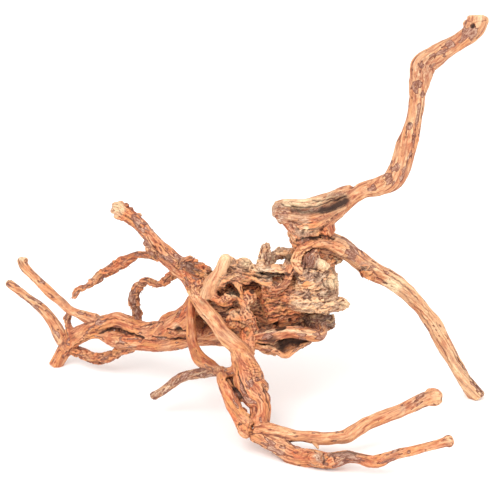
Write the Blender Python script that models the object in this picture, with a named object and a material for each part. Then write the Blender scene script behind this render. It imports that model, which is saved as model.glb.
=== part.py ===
"""A spiderwood root: one piece of azalea root wood, as dug up, peeled and dried.

A knotted burl in the middle carries a trunk with twigs on its left, a hollow bowl and a tall bent limb
above it, a long branch that comes down on its right, and a forked trunk that reaches forward below it.
It stands on three low points: the left stub, the tip of the right branch and the lower fork.

Lengths here are millimetres until the finished mesh is scaled to metres. The origin is the middle of the
bounding box at the surface that the root stands on. +X is across to the right, +Y to the back, +Z up.
"""

import math

import bmesh
import bpy
import numpy as np
from mathutils import Matrix, Vector

# The root is laid out on a square sheet that leans back. A point is (across, down, back, radius): across
# and down are measured on the sheet from its top left corner. back carries the point behind the sheet
# along the sight line of an eye in front of the sheet's middle, and widens the layout by that much.
SHEET_SIDE = 500.0
SHEET_LEAN = math.radians(22.0)
SHEET_HEIGHT = 159.6  # of the sheet's middle above the surface
EYE_DISTANCE = 2000.0

RING_STEP = 3.0  # between a strand's cross-sections
RING_SIDES = 16
FLUTE_DEPTH = 0.07  # of the two ribs that wind along a strand, as a share of its radius
RIB_DEPTH = 0.05  # of the three finer ribs that wind the other way
TWIST_LENGTH = 95.0  # in which the ribs wind once round
PHASE_STEP = 2.4  # turns each strand's ribs away from its neighbour's

VOXEL = 2.1  # grid of the fusing, finer than the thinnest twig
SMOOTH_SHARE = 0.5
SMOOTH_ROUNDS = 2
TRIANGLES = 11400
LEVEL_WITHIN = 0.3  # of the surface, at which the worn feet are made level

MM = 0.001
WOOD_COLOUR = (0.62, 0.27, 0.11, 1.0)
WOOD_ROUGHNESS = 0.62

LEFT_STRANDS = {
    "left_trunk": [
        (55.5, 366.3, 123, 7.3), (63, 352, 118, 8.4), (74, 338, 110, 9.5), (88, 330, 100, 8.8), (105, 323.5, 86, 9),
        (122, 321.5, 73, 9), (140, 330.5, 60, 8.8), (157, 331.5, 48, 10), (176, 326, 34, 13), (200, 317, 16, 18),
    ],
    "left_under_trunk": [
        (88, 336, 94, 3.5), (100, 335, 85, 4.5), (118, 339.5, 72, 8.3), (138, 342.5, 60, 8), (160, 343.5, 48, 8),
        (182, 341.5, 36, 6.8), (205, 340.5, 26, 6), (228, 340, 18, 6.5), (252, 336, 8, 10),
    ],
    "left_web": [(160, 322, 46, 5.5), (172, 318, 36, 6.8), (186, 313, 26, 8.6), (200, 303, 16, 13)],
    "left_fill": [(174, 334, 42, 7), (200, 333, 27, 9), (224, 331, 17, 10)],
    "fork_stub": [(71, 335, 108, 6), (68.3, 325, 110, 4.2), (67, 318.5, 110, 3.8), (70, 312.5, 107, 3.2)],
    "upper_left_twig": [
        (98, 322, 90, 7.5), (86, 317, 96, 5.6), (78, 313.4, 100, 4.4), (70, 309.4, 104, 4.6), (59, 300.3, 112, 4.8),
        (47, 289.6, 120, 4.5), (35, 278, 127, 4.2), (26.3, 269, 132, 4.6), (21.8, 262, 136, 5), (21.5, 256.8, 138, 4),
    ],
    "twig_prong": [(24, 263, 135, 3.6), (26.4, 257.3, 134, 2.6)],
    "lower_left_twig": [
        (66, 345, 114, 8), (59.5, 334, 119, 6.2), (53.5, 323, 125, 5.8), (46, 313, 131, 5.2), (36, 303.4, 137, 4.7),
        (24, 294.8, 143, 4.4), (13, 286.8, 149, 4.3), (6.5, 282, 152, 3.8),
    ],
    "left_loop": [
        (68, 346, 116, 6), (78, 351, 113, 5.2), (90, 357, 106, 5.3), (101, 358.5, 98, 5.4),
        (111, 355.5, 88, 5.4), (120, 350, 80, 5.2), (134, 345, 68, 5.5),
    ],
}

UPPER_LEFT_STRANDS = {
    "upper_left_limb": [
        (214, 294, 8, 15), (196, 280, 15, 12), (182, 269, 22, 10), (171, 260, 28, 8.6), (161.5, 250.2, 34, 7.8),
        (153.3, 240.2, 39, 6.9), (144.6, 230.4, 44, 6.6), (135, 220.6, 49, 7.2), (127, 214.5, 53, 7.8),
        (121, 210.5, 56, 8.6), (116, 209, 58, 7.4),
    ],
    "limb_nub": [(155, 254, 28, 5), (149, 249.5, 24, 4), (145.5, 247, 22, 3)],
    "limb_knob": [(182, 266, 16, 7), (189, 261.5, 11, 5.6), (195, 258.5, 9, 3.4)],
    "limb_crown": [(188, 266, 12, 7), (199, 272, 6, 6.5), (212, 275, 2, 9)],
    "drooping_twig": [
        (163, 258, 34, 5.5), (150, 254.8, 40, 3.4), (138, 255, 46, 3.2), (127, 260.3, 52, 5),
        (114, 267.6, 58, 5.8), (104, 273, 62, 5.2), (96, 279.8, 66, 5.4), (88, 285.8, 70, 3.4),
        (80, 289.6, 72, 3), (75.8, 294.5, 74, 2.9), (74, 300, 76, 2.6),
    ],
    "curled_twig": [
        (183, 269, 26, 7), (173, 275.5, 32, 4.6), (164, 282, 38, 4), (156.5, 284.5, 42, 3.3),
        (150, 281.6, 46, 3.1), (144, 282, 50, 4.1), (137.5, 289.5, 56, 5), (134.2, 298.5, 60, 5.2),
        (136.3, 309, 64, 4.6), (137.4, 319, 66, 4.4), (138, 330, 62, 5.5),
    ],
}

LOWER_STRANDS = {
    "red_root": [
        (196, 294, 2, 7), (191.5, 306, -4, 5), (190.5, 318, -6, 5), (191, 332, -8, 5.2), (193.4, 346, -12, 4.8),
        (199.5, 358, -18, 6.2), (209, 364.7, -24, 5.8), (218, 370.5, -30, 5.6), (228, 375, -36, 6),
    ],
    "front_root": [
        (198, 290, -4, 10), (202, 302, -12, 8), (211, 315, -22, 8), (221, 329, -30, 8.8), (232, 341, -36, 9.8),
        (241.5, 352, -40, 10.2), (245, 363, -42, 12),
    ],
    "burl_foot": [(246, 316, -16, 9), (248, 332, -20, 8), (246.5, 345, -27, 7.6), (245, 357, -35, 8.5)],
    "foot_link": [(221, 373, -35, 6), (232, 372, -39, 5.6), (243, 366, -42, 9)],
    "root_thorn": [(217, 372, -32, 4), (222.5, 367.5, -33, 2)],
    "slit_left": [
        (222, 372, -36, 6.4), (223.6, 381, -41, 6.6), (228.3, 393, -48, 7.5), (232.4, 405, -55, 6.5),
        (239.5, 417, -61, 7.4), (251, 429, -66, 11.5),
    ],
    "slit_web": [(229, 378, -32, 6), (235, 388, -37, 5), (239.5, 396, -42, 3.6)],
    "slit_right": [
        (244, 363, -42, 12.5), (247.3, 374, -46, 14.2), (248, 386, -51, 13.2), (254.3, 396, -56, 11.6),
        (261.3, 405, -60, 9.6), (261.8, 414, -63, 8.6), (257, 427, -66, 12),
    ],
    "right_lobe": [(250, 366, -42, 8), (255.5, 378, -44, 8.4), (252, 388, -48, 8)],
    "fork_lump": [(243, 429, -69, 6), (248, 434, -70, 6.8)],
    "fork_upper": [
        (254, 429, -66, 12.5), (272, 432.5, -70, 9.6), (288, 435.4, -73, 6.8), (304, 436.3, -75, 5.6),
        (320, 438, -76, 6.4), (334, 438, -76, 6.7), (345, 437.4, -75, 7.2), (354, 431.5, -73, 7.4),
        (368.4, 423, -69, 7), (385.2, 416.2, -65, 6.4), (400.3, 410.8, -61, 6.5), (413, 404.5, -57, 7),
        (425.5, 399.2, -53, 7.8), (435, 398.3, -50, 8.4), (440, 398.5, -49, 8),
    ],
    "fork_thorn": [(312, 438, -77, 4), (316.5, 446.5, -79, 1.6), (318.5, 449.5, -80, 1.3)],
    "fork_lower": [
        (254, 430, -66, 11.5), (269, 440.3, -71, 10), (284.8, 449.5, -77, 9.8), (299, 457.6, -82.5, 9.4),
        (313, 459, -88, 7.9), (326, 460.8, -93, 7.8), (337, 458.8, -98, 8), (347, 456.8, -104, 6.9),
        (359, 458.2, -107, 5.9), (371, 462, -110, 6.3), (380, 460.8, -112, 6), (389, 456.8, -114, 4.9),
        (401, 453.2, -118, 4.6), (418, 450, -123, 4.6), (434, 445.3, -128, 4.9), (446, 442.4, -132, 5.3),
        (451.5, 441.7, -133, 5),
    ],
    "grey_twig": [
        (227, 372, -34, 6), (214, 371.6, -26, 5.4), (202, 372.6, -20, 5.6), (190, 374.8, -14, 5.2),
        (179, 378.8, -9, 4.8), (170, 385.2, -4, 4.2), (161.5, 391.8, 0, 4), (151, 397, 4, 4.2),
    ],
}

BURL_STRANDS = {
    "core": [
        (200, 288, 16, 9), (212, 290, 18, 18), (232, 301, 20, 27), (258, 303, 20, 32), (285, 300, 18, 31),
        (308, 292, 14, 26), (322, 288, 11, 18), (331, 286, 8, 8),
    ],
    "core_front": [(262, 302, -5, 22), (284, 300, -6, 22), (304, 294, -6, 17)],
    "back_upper": [(205, 290, 30, 12), (235, 285, 48, 13), (265, 288, 54, 14), (295, 293, 48, 13), (318, 298, 30, 12)],
    "back_lower": [(196, 318, 28, 12), (222, 322, 38, 12), (250, 327, 44, 12), (280, 322, 40, 12), (305, 315, 28, 12)],
    "back_crown": [(244, 274, 18, 10), (272, 280, 26, 11), (300, 272, 24, 11), (322, 264, 12, 13)],
    "back_rope": [
        (198, 284, 30, 8), (214, 279, 46, 6.5), (236, 276, 58, 6), (260, 279, 66, 6.5), (284, 286, 65, 6),
        (306, 292, 52, 7), (320, 292, 36, 8),
    ],
    "back_cross": [
        (212, 326, 40, 7), (230, 316, 55, 6), (244, 302, 65, 5.5), (258, 288, 70, 5), (276, 277, 63, 5.5),
        (296, 268, 46, 7),
    ],
    "back_fold": [
        (204, 304, 38, 8), (224, 308, 54, 6), (248, 315, 60, 6), (274, 312, 61, 6.5), (296, 303, 56, 7),
        (312, 290, 44, 7),
    ],
    "back_stub": [(258, 300, 52, 10), (264, 306, 68, 7.5), (268, 309, 84, 6.5), (269, 310, 90, 5.5)],
    "back_spur": [(240, 320, 46, 8), (233, 328, 60, 6), (225, 333, 72, 5), (219, 335, 80, 3.6)],
    "back_bud": [(292, 300, 54, 9), (299, 296, 66, 7), (303, 292, 73, 5.5)],
    "cut_peg": [(206, 300, -12, 10), (211, 288, -18, 9), (217, 275, -22, 8), (222, 264, -24, 7), (225.5, 256, -25, 5)],
    "peg_back": [(226, 259, -20, 4), (232, 266, -14, 6), (242, 270, -10, 8)],
    "crown_left": [(222, 276, -8, 9), (238, 271, -8, 9), (254, 271, -6, 9)],
    "cream_knob": [(240, 264, -8, 6.5), (248, 262, -6, 5.5)],
    "spike": [(262, 268, -10, 9), (263, 257, -12, 6), (265, 248.5, -13, 5), (267, 244, -13, 3.8)],
    "ring_arch": [
        (268, 262, -11, 5), (272, 257, -9, 5), (279, 254, -6, 4.5), (288, 253, -3, 4.8), (295, 256, -1, 5.6),
        (302, 264, 2, 7),
    ],
    "ring_side": [(292, 258, -8, 5), (290.5, 266, -14, 5), (284, 272, -18, 6)],
    "ledge": [(254, 268, -20, 5), (264, 270, -25, 6), (276, 271, -26, 5.6), (287, 269.5, -24, 5), (294, 263, -20, 4.5)],
    "ledge_root": [(293, 268, -24, 3.4), (288, 276, -28, 3.4), (281, 285, -30, 4)],
    "brow": [
        (206, 286, -8, 8), (222, 282, -18, 7), (236, 278, -22, 6.5), (250, 278, -22, 5.5), (262, 281, -25, 5.5),
        (274, 285, -28, 5),
    ],
    "cheek": [(204, 297, -12, 5), (214, 298, -19, 4.4), (224, 302, -25, 4.6), (232, 301, -27, 4)],
    "nose": [
        (239, 290, -28, 4.5), (241, 301, -33, 4.6), (247, 311, -35, 4.2), (252, 321, -34, 5), (254, 334, -30, 6),
    ],
    "knot_body": [(308, 280, -8, 18), (315, 262, -13, 18.5)],
    "knot_rim": [
        (302, 273, -27, 4.6), (296.5, 264, -29, 4.8), (298.5, 254, -31, 5), (306, 246, -33, 5.2),
        (318, 242, -32, 5), (331, 245, -26, 5.2), (344, 251, -17, 6.5),
    ],
    "knot_flake": [(323, 268, -28, 5), (326, 259, -28, 5)],
    "right_cheek": [(296, 284, -21, 8), (309, 285, -23, 9), (321, 281, -17, 10.5), (330, 285, -11, 9), (329, 297, -12, 9)],
    "cheek_fill": [(299, 293, -22, 8), (315, 293, -19, 9), (328, 292, -14, 8)],
    "cheek_ridge": [(331, 268, -7, 5), (332.5, 278, -8, 5), (333, 291, -10, 5)],
    "shelf": [
        (288, 301, -26, 7), (304, 303, -28, 8.5), (320, 305, -25, 8.5), (334, 304.5, -19, 7.5),
        (344, 303.5, -14, 5), (352, 303, -10, 2.4),
    ],
    "dark_stub": [(308, 318, -4, 10), (320, 321, 0, 9.5), (329, 322, 4, 8.5), (334, 322, 6, 7.6)],
    "rim_upper": [
        (250, 341, -18, 6.5), (262, 338, -25, 6.6), (276, 334, -29, 6), (290, 332, -30, 6), (304, 333, -27, 6.5),
        (314, 336, -21, 6.5), (320, 334.5, -14, 6.2), (321, 328, -6, 7.6),
    ],
    "rim_lower": [
        (247, 342, -20, 6), (259, 346, -22, 6.6), (271, 350.3, -20, 6.6), (281, 353.4, -17, 5.6), (291.5, 350.5, -13, 4.3),
        (302, 345.5, -9, 3.8), (312, 338, -6, 5),
    ],
    "belly": [(252, 332, 4, 13), (272, 334, 8, 14), (292, 330, 9, 14), (308, 326, 8, 12)],
    "belly_floor": [(256, 344, 2, 5), (272, 349, 6, 5.5), (286, 348, 8, 5.5), (298, 343, 6, 6), (308, 339, 2, 6)],
}

RIGHT_STRANDS = {
    "neck": [(316, 264, -2, 18), (312, 250, -10, 13.5), (306, 238, -19, 14.5), (304.5, 229, -25, 14.5), (312, 219, -26, 13)],
    "bowl_keel": [(280, 213, -34, 5), (290, 222, -33, 7.4), (299, 232, -28, 9.4), (304, 244, -22, 8)],
    "bowl_belly": [(294, 219, -33, 9), (310, 222, -33, 9.5), (322, 218, -30, 9), (332, 212, -27, 7.6)],
    "neck_right": [(318, 218, -24, 12), (323, 226, -20, 11.5), (325, 236, -14, 11)],
    "bowl_body": [
        (271.5, 210, -31, 4), (276, 210.5, -31, 7.5), (284, 212, -30, 10), (298, 215, -28, 13), (314, 216, -26, 14.5),
        (330, 211, -24, 12), (343, 203, -22, 9),
    ],
    "bowl_back": [(284, 208, -20, 6), (300, 211, -13, 8), (316, 210, -11, 8), (330, 205, -12, 8), (344, 198, -17, 8)],
    "bowl_far_rim": [
        (275, 207.5, -24, 5), (286, 203.5, -15, 4.6), (302, 203.5, -11, 4.4), (316, 200.5, -9, 5), (329, 197, -10, 5.2),
        (341, 192.6, -14, 6), (354, 190.5, -19, 7.5),
    ],
    "bowl_near_rim": [
        (272.5, 213, -35, 3.8), (288, 217, -41, 3.6), (303, 219, -43, 3.6), (318, 217, -41, 3.8), (332, 211, -36, 4.4),
        (345, 203, -28, 6),
    ],
    "tall_limb": [
        (318, 222, -24, 12), (335, 211.5, -24, 8.6), (349.5, 199, -22, 7.8), (362, 191, -24, 8.2),
        (378, 186.6, -28, 9.5), (390.5, 181, -32, 11), (399.3, 169.5, -37, 10.9), (404.6, 154, -42, 9.7),
        (409, 138, -46, 9.2), (413, 123, -50, 8.7), (415.8, 108, -54, 8.3), (418.2, 93, -57, 9),
        (421, 78, -60, 10.9), (424, 64.5, -62, 12), (436.5, 55.3, -62, 9.9), (450.5, 46.4, -61, 8.6),
        (462.5, 39, -60, 9.2), (472, 31.6, -59, 10.4), (479.5, 24.3, -58, 9.8), (484, 19.5, -57, 6.5),
    ],
    "right_branch": [
        (314, 242, -12, 14), (331, 243.5, -8, 12), (346.5, 250.5, -4, 10.2), (359.8, 261.5, 2, 9),
        (372.5, 270.3, 8, 8.7), (387, 277.4, 14, 8.8), (401, 287.2, 20, 8.8), (413.8, 298.8, 27, 7.9),
        (425.6, 313.4, 33, 7.6), (436.2, 329.6, 38, 7.9), (447, 350, 42, 7.4), (457.6, 369, 45, 7.4),
        (467.4, 383, 47, 7.5), (474.3, 392, 48, 7.8), (478.8, 397.3, 49, 7.4),
    ],
    "branch_nodule": [(363, 270, 1, 6.4), (372, 275.5, 5, 5.6)],
    "hidden_nub": [(332, 257, 6, 9.5), (340.5, 262.6, 4, 6.6)],
}

STRANDS = {**LEFT_STRANDS, **UPPER_LEFT_STRANDS, **LOWER_STRANDS, **BURL_STRANDS, **RIGHT_STRANDS}

# Wrinkles lie one above the other across the front of the burl.
WRINKLES = 6
WRINKLE_TOP = 290.0
WRINKLE_PITCH = 6.4
WRINKLE_RADIUS = 3.4
WRINKLE_WAVE = 1.8
WRINKLE_LEFT, WRINKLE_RIGHT = 256.0, 302.0
WRINKLE_BACK = -31.0

# Round growths on the burl, as single points of the layout.
KNOBS = [
    (230, 296, -27, 7.6),
    (251, 297, -30, 7.4),
    (238, 319, -29, 11),
    (245, 431, -72, 7),
    (250, 371, -54, 7),
    (300, 300, -24, 11),
    (226, 290, 47, 11),
    (284, 322, 40, 13),
    (246, 270, 44, 8),
    (310, 276, 30, 11),
    (206, 316, 44, 9),
]

# Hollows, each an ellipsoid: a point of the layout, then its half-lengths along X, Y and Z, and its turn
# about Y in degrees, which lowers its right end.
HOLLOWS = [
    (317, 203, -30, (31, 15, 11), -11),
    (291, 343.5, -14, (17, 24, 4.8), -6),
    (231, 288, -26, (7, 22, 3.4), 0),
    (253, 287, -28, (5, 20, 3.6), 20),
    (214, 307, -22, (10, 20, 3.2), 38),
    (223, 314, -24, (5, 20, 4), -30),
    (233, 332, -30, (5, 18, 3), 40),
    (270, 275.5, -32, (14, 14, 2.2), 3),
]


def on_sheet(across, down, back):
    """The point of space, in millimetres, that the layout names."""
    spread = 1.0 + back / EYE_DISTANCE
    right = (across - SHEET_SIDE / 2) * spread
    up = (SHEET_SIDE / 2 - down) * spread
    return Vector(
        (
            right,
            up * math.sin(SHEET_LEAN) + back * math.cos(SHEET_LEAN),
            SHEET_HEIGHT + up * math.cos(SHEET_LEAN) - back * math.sin(SHEET_LEAN),
        )
    )


def placed(points):
    """The layout's points as rows of x, y, z and radius."""
    spread = [1.0 + back / EYE_DISTANCE for _, _, back, _ in points]
    return np.array(
        [(*on_sheet(*point[:3]), point[3] * wider) for point, wider in zip(points, spread)]
    )


def smooth_path(rows, step):
    """A Catmull-Rom curve through the rows, read off about every step."""
    ends = np.vstack([2 * rows[0] - rows[1], rows, 2 * rows[-1] - rows[-2]])
    path = []
    for before, start, end, after in zip(ends, ends[1:], ends[2:], ends[3:]):
        count = max(1, round(np.linalg.norm(end[:3] - start[:3]) / step))
        for share in np.arange(count) / count:
            path.append(
                0.5
                * (
                    2 * start
                    + (end - before) * share
                    + (2 * before - 5 * start + 4 * end - after) * share**2
                    + (3 * start - before - 3 * end + after) * share**3
                )
            )
    return np.array([*path, rows[-1]])


def carried_frames(centres):
    """Two unit vectors across the path at each of its points, carried along it without spinning."""
    along = np.gradient(centres, axis=0)
    along /= np.linalg.norm(along, axis=1)[:, None]
    first = np.cross(along[0], (0.0, 1.0, 0.3))
    firsts = []
    for direction in along:
        first = first - direction * (first @ direction)
        first = first / np.linalg.norm(first)
        firsts.append(first)
    firsts = np.array(firsts)
    return firsts, np.cross(along, firsts)


def add_strand(shape, points, phase):
    """A closed tube along the points, with ribs that wind round it."""
    path = smooth_path(placed(points), RING_STEP)
    first, second = carried_frames(path[:, :3])
    run = np.concatenate([[0], np.cumsum(np.linalg.norm(np.diff(path[:, :3], axis=0), axis=1))])
    turn = (2 * math.pi / TWIST_LENGTH * run + phase)[:, None]
    angle = np.linspace(0, 2 * math.pi, RING_SIDES, endpoint=False)[None, :]
    ribs = 1 + FLUTE_DEPTH * np.sin(2 * angle + turn) + RIB_DEPTH * np.sin(3 * angle - 1.7 * turn + phase)
    across = np.cos(angle)[..., None] * first[:, None] + np.sin(angle)[..., None] * second[:, None]
    rings = path[:, None, :3] + (path[:, 3:] * ribs)[..., None] * across
    corners = [[shape.verts.new(point) for point in ring] for ring in rings]
    for ring, following in zip(corners, corners[1:]):
        for side in range(RING_SIDES):
            neighbour = (side + 1) % RING_SIDES
            shape.faces.new((ring[side], ring[neighbour], following[neighbour], following[side]))
    shape.faces.new(reversed(corners[0]))
    shape.faces.new(corners[-1])


def wrinkle(number):
    """The layout points of one wrinkle, a shallow wave across the burl."""
    down = WRINKLE_TOP + WRINKLE_PITCH * number
    shares = np.linspace(0, 1, 6)
    return [
        (
            WRINKLE_LEFT + (WRINKLE_RIGHT - WRINKLE_LEFT) * share,
            down + WRINKLE_WAVE * math.sin(6 * share + 2 * number),
            WRINKLE_BACK + 10 * (share - 0.4) ** 2 * 4 + 1.5 * math.cos(5 * share + number),
            WRINKLE_RADIUS * (0.8 + 0.4 * math.sin(math.pi * share)),
        )
        for share in shares
    ]


def mesh_object(name, shape):
    mesh = bpy.data.meshes.new(name)
    shape.to_mesh(mesh)
    shape.free()
    made = bpy.data.objects.new(name, mesh)
    bpy.context.scene.collection.objects.link(made)
    return made


def tangled_strands():
    """Every strand, wrinkle and knob, each still a closed shape of its own, in one object."""
    shape = bmesh.new()
    laid_out = [*STRANDS.values(), *(wrinkle(number) for number in range(WRINKLES))]
    for number, points in enumerate(laid_out):
        add_strand(shape, points, PHASE_STEP * number)
    for across, down, back, radius in KNOBS:
        centre = Matrix.Translation(on_sheet(across, down, back))
        bmesh.ops.create_icosphere(shape, subdivisions=3, radius=radius, matrix=centre)
    bmesh.ops.recalc_face_normals(shape, faces=shape.faces)
    return mesh_object("tangled_strands", shape)


def hollow_cutters():
    """The ellipsoids that open the bowl, the burl's underside and the holes between its knots."""
    cutters = bpy.data.collections.new("hollows")
    for number, (across, down, back, half_lengths, turn) in enumerate(HOLLOWS):
        shape = bmesh.new()
        place = Matrix.Translation(on_sheet(across, down, back)) @ Matrix.Rotation(math.radians(turn), 4, "Y")
        place = place @ Matrix.Diagonal((*half_lengths, 1.0))
        bmesh.ops.create_icosphere(shape, subdivisions=3, radius=1.0, matrix=place)
        cutter = mesh_object(f"hollow_{number}", shape)
        bpy.context.scene.collection.objects.unlink(cutter)
        cutters.objects.link(cutter)
    return cutters


def fused(strands, cutters):
    """One mesh grown from the strands, with the hollows opened, smoothed and thinned."""
    grow = strands.modifiers.new("grow_together", "REMESH")
    grow.mode = "VOXEL"
    grow.voxel_size = VOXEL
    open_up = strands.modifiers.new("open_hollows", "BOOLEAN")
    open_up.operation = "DIFFERENCE"
    open_up.operand_type = "COLLECTION"
    open_up.collection = cutters
    heal = strands.modifiers.new("even_skin", "REMESH")
    heal.mode = "VOXEL"
    heal.voxel_size = VOXEL
    soften = strands.modifiers.new("soften", "SMOOTH")
    soften.factor = SMOOTH_SHARE
    soften.iterations = SMOOTH_ROUNDS
    evaluated = strands.evaluated_get(bpy.context.evaluated_depsgraph_get())
    return bpy.data.meshes.new_from_object(evaluated)


def largest_body(mesh):
    """The mesh as a bmesh, without the small sealed hollows and scraps that fusing leaves."""
    shape = bmesh.new()
    shape.from_mesh(mesh)
    waiting = set(shape.verts)
    bodies = []
    while waiting:
        body = {waiting.pop()}
        edge_of_body = list(body)
        while edge_of_body:
            vertex = edge_of_body.pop()
            for edge in vertex.link_edges:
                other = edge.other_vert(vertex)
                if other in waiting:
                    waiting.remove(other)
                    body.add(other)
                    edge_of_body.append(other)
        bodies.append(body)
    bodies.sort(key=len)
    scraps = [vertex for body in bodies[:-1] for vertex in body]
    bmesh.ops.delete(shape, geom=scraps, context="VERTS")
    return shape


def thinned(root):
    """The root's mesh with no more triangles than TRIANGLES."""
    bpy.context.view_layer.update()
    quads = len(root.data.polygons)
    thin = root.modifiers.new("thin_out", "DECIMATE")
    thin.ratio = TRIANGLES / (2 * quads)
    split = root.modifiers.new("triangles", "TRIANGULATE")
    split.quad_method = "BEAUTY"
    return bpy.data.meshes.new_from_object(root.evaluated_get(bpy.context.evaluated_depsgraph_get()))


def wear_feet(shape):
    """Wears the three low points flat where they would reach below the surface."""
    for vertex in shape.verts:
        vertex.co.z = max(vertex.co.z, 0.0)


def stand_on_feet(mesh):
    """Sets the worn feet level, puts the origin under the middle, and turns millimetres to metres."""
    for vertex in mesh.vertices:
        if vertex.co.z < LEVEL_WITHIN:
            vertex.co.z = 0.0
    corners = np.array([vertex.co for vertex in mesh.vertices])
    middle = (corners.min(axis=0) + corners.max(axis=0)) / 2
    mesh.transform(Matrix.Translation((-middle[0], -middle[1], 0.0)))
    mesh.transform(Matrix.Scale(MM, 4))


def wood():
    material = bpy.data.materials.new("bare_root_wood")
    material.use_nodes = True
    shader = material.node_tree.nodes["Principled BSDF"]
    shader.inputs["Base Color"].default_value = WOOD_COLOUR
    shader.inputs["Roughness"].default_value = WOOD_ROUGHNESS
    shader.inputs["Metallic"].default_value = 0.0
    return material


def main():
    for old in list(bpy.data.objects):
        bpy.data.objects.remove(old)
    strands = tangled_strands()
    cutters = hollow_cutters()
    grown = largest_body(fused(strands, cutters))
    wear_feet(grown)
    root = mesh_object("spiderwood_root", grown)
    for helper in [strands, *cutters.objects]:
        bpy.data.objects.remove(helper)
    bpy.data.collections.remove(cutters)
    whole = thinned(root)
    root.modifiers.clear()
    root.data = whole
    stand_on_feet(whole)
    whole.shade_smooth()
    whole.materials.append(wood())


main()
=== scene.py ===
import math

import bpy
import numpy as np
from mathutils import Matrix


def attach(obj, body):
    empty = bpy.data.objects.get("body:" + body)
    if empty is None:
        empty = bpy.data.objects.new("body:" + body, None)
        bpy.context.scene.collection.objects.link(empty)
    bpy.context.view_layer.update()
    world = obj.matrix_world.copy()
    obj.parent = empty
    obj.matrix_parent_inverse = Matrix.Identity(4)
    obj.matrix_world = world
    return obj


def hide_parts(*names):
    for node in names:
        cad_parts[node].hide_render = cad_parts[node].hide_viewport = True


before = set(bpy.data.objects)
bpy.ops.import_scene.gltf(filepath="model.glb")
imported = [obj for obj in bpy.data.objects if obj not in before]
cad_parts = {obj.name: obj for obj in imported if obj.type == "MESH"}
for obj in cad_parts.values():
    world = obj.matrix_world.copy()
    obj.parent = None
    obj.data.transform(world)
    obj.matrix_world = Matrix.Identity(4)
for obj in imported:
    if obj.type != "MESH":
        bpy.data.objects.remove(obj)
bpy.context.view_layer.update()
print("frame loaded")

# every strand is laid out on one leaning sheet; lengths are mm until a piece is placed
sheet = {
    "side": 500.0,
    "lean": math.radians(22.0),  # backwards
    "height": 159.6,  # of its middle above the floor
    "eye": 2000.0,  # how far the eye is from its middle
    "middle": (-11.63, -31.74),  # of the CAD box, seen from the sheet's middle
}
metres = 0.001  # in one mm
halfSheet = sheet["side"] / 2
leanSine, leanCosine = math.sin(sheet["lean"]), math.cos(sheet["lean"])
sightLine = np.array([0.0, leanCosine, -leanSine])


# layout points (across, down, back) in space: their place on the leaning sheet, widened by back / eye,
# and carried back along the sheet's normal
def toSpace(points):
    points = np.asarray(points, float)
    back = points[:, 2]
    spread = 1 + back / sheet["eye"]
    right = (points[:, 0] - halfSheet) * spread
    up = (halfSheet - points[:, 1]) * spread
    return np.column_stack([
        right - sheet["middle"][0],
        up * leanSine + back * leanCosine - sheet["middle"][1],
        sheet["height"] + up * leanCosine - back * leanSine,
    ])


# the other way round: points in space as (across, down, back)
def toSheet(space):
    x = space[:, 0] + sheet["middle"][0]
    y = space[:, 1] + sheet["middle"][1]
    z = space[:, 2] - sheet["height"]
    back = y * leanCosine - z * leanSine
    spread = 1 + back / sheet["eye"]
    return np.column_stack([
        halfSheet + x / spread,
        halfSheet - (y * leanSine + z * leanCosine) / spread,
        back,
    ])


hashing = {
    "axes": (73856093, 19349663, 83492791),  # large keys that scatter the cells of a grid
    "seed": 2654435761, "seedStep": 17,
    "mix": 1274126177, "shifts": (13, 16),
    "byte": 255, "bytes": (0, 8, 16, 24),  # a hash is read eight bits at a time
    "gain": 1.5,  # brings the noise to about -1 to 1
    "slopes": 7,  # which random slopes are drawn
}
slopes = np.random.default_rng(hashing["slopes"]).normal(size=(hashing["byte"] + 1, 3))
slopes /= np.linalg.norm(slopes, axis=1)[:, None]


# a whole number for each cell: the products of its place and the keys, mixed bit by bit
def hashed(cell, seed):
    x, y, z = (cell * np.array(hashing["axes"])).T
    early, late = hashing["shifts"]
    mixed = x ^ y ^ z ^ (seed + 1) * hashing["seed"]
    mixed = (mixed ^ (mixed >> early)) * hashing["mix"]
    return mixed ^ (mixed >> late)


# gradient noise: every corner of a unit cell has a hashed slope, and the eight straight ramps are blended
# with the ease 6t^5 - 15t^4 + 10t^3
def noise(points, seed=0):
    cell = np.floor(points).astype(np.int64)
    part = points - cell
    ease = part ** 3 * (part * (part * 6 - 15) + 10)
    total = np.zeros(len(points))
    for corner in np.ndindex(2, 2, 2):
        slope = slopes[hashed(cell + corner, seed) & hashing["byte"]]
        weight = np.prod(np.where(corner, ease, 1 - ease), axis=1)
        total += weight * ((part - corner) * slope).sum(axis=1)
    return total * hashing["gain"]


# a sum of noises, each twice as fine and half as strong as the one before
def layeredNoise(points, layers, seed=0):
    return sum(noise(points * 2 ** k, seed + hashing["seedStep"] * k) / 2 ** k for k in range(layers))


# cells round one hashed point in each unit cube: a value from 0 to 1 for each cell, and how much farther
# the second nearest point is than the nearest, which is 0 where two cells meet
def cells(points, seed=0):
    home = np.floor(points).astype(np.int64)
    nearest = np.full(len(points), np.inf)
    second = nearest
    value = np.zeros(len(points))
    for corner in np.ndindex(3, 3, 3):
        cell = home + np.array(corner) - 1
        parts = hashed(cell, seed)[:, None] >> np.array(hashing["bytes"]) & hashing["byte"]
        parts = parts / hashing["byte"]
        away = np.linalg.norm(points - (cell + parts[:, :3]), axis=1)
        closer = away < nearest
        second = np.where(closer, nearest, np.minimum(second, away))
        value = np.where(closer, parts[:, 3], value)
        nearest = np.minimum(nearest, away)
    return value, second - nearest


# 0 at low and before it, 1 at high and past it, the S-curve 3t^2 - 2t^3 between
def ramp(values, low, high):
    share = np.clip((values - low) / (high - low), 0, 1)
    return share * share * (3 - 2 * share)


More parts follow.
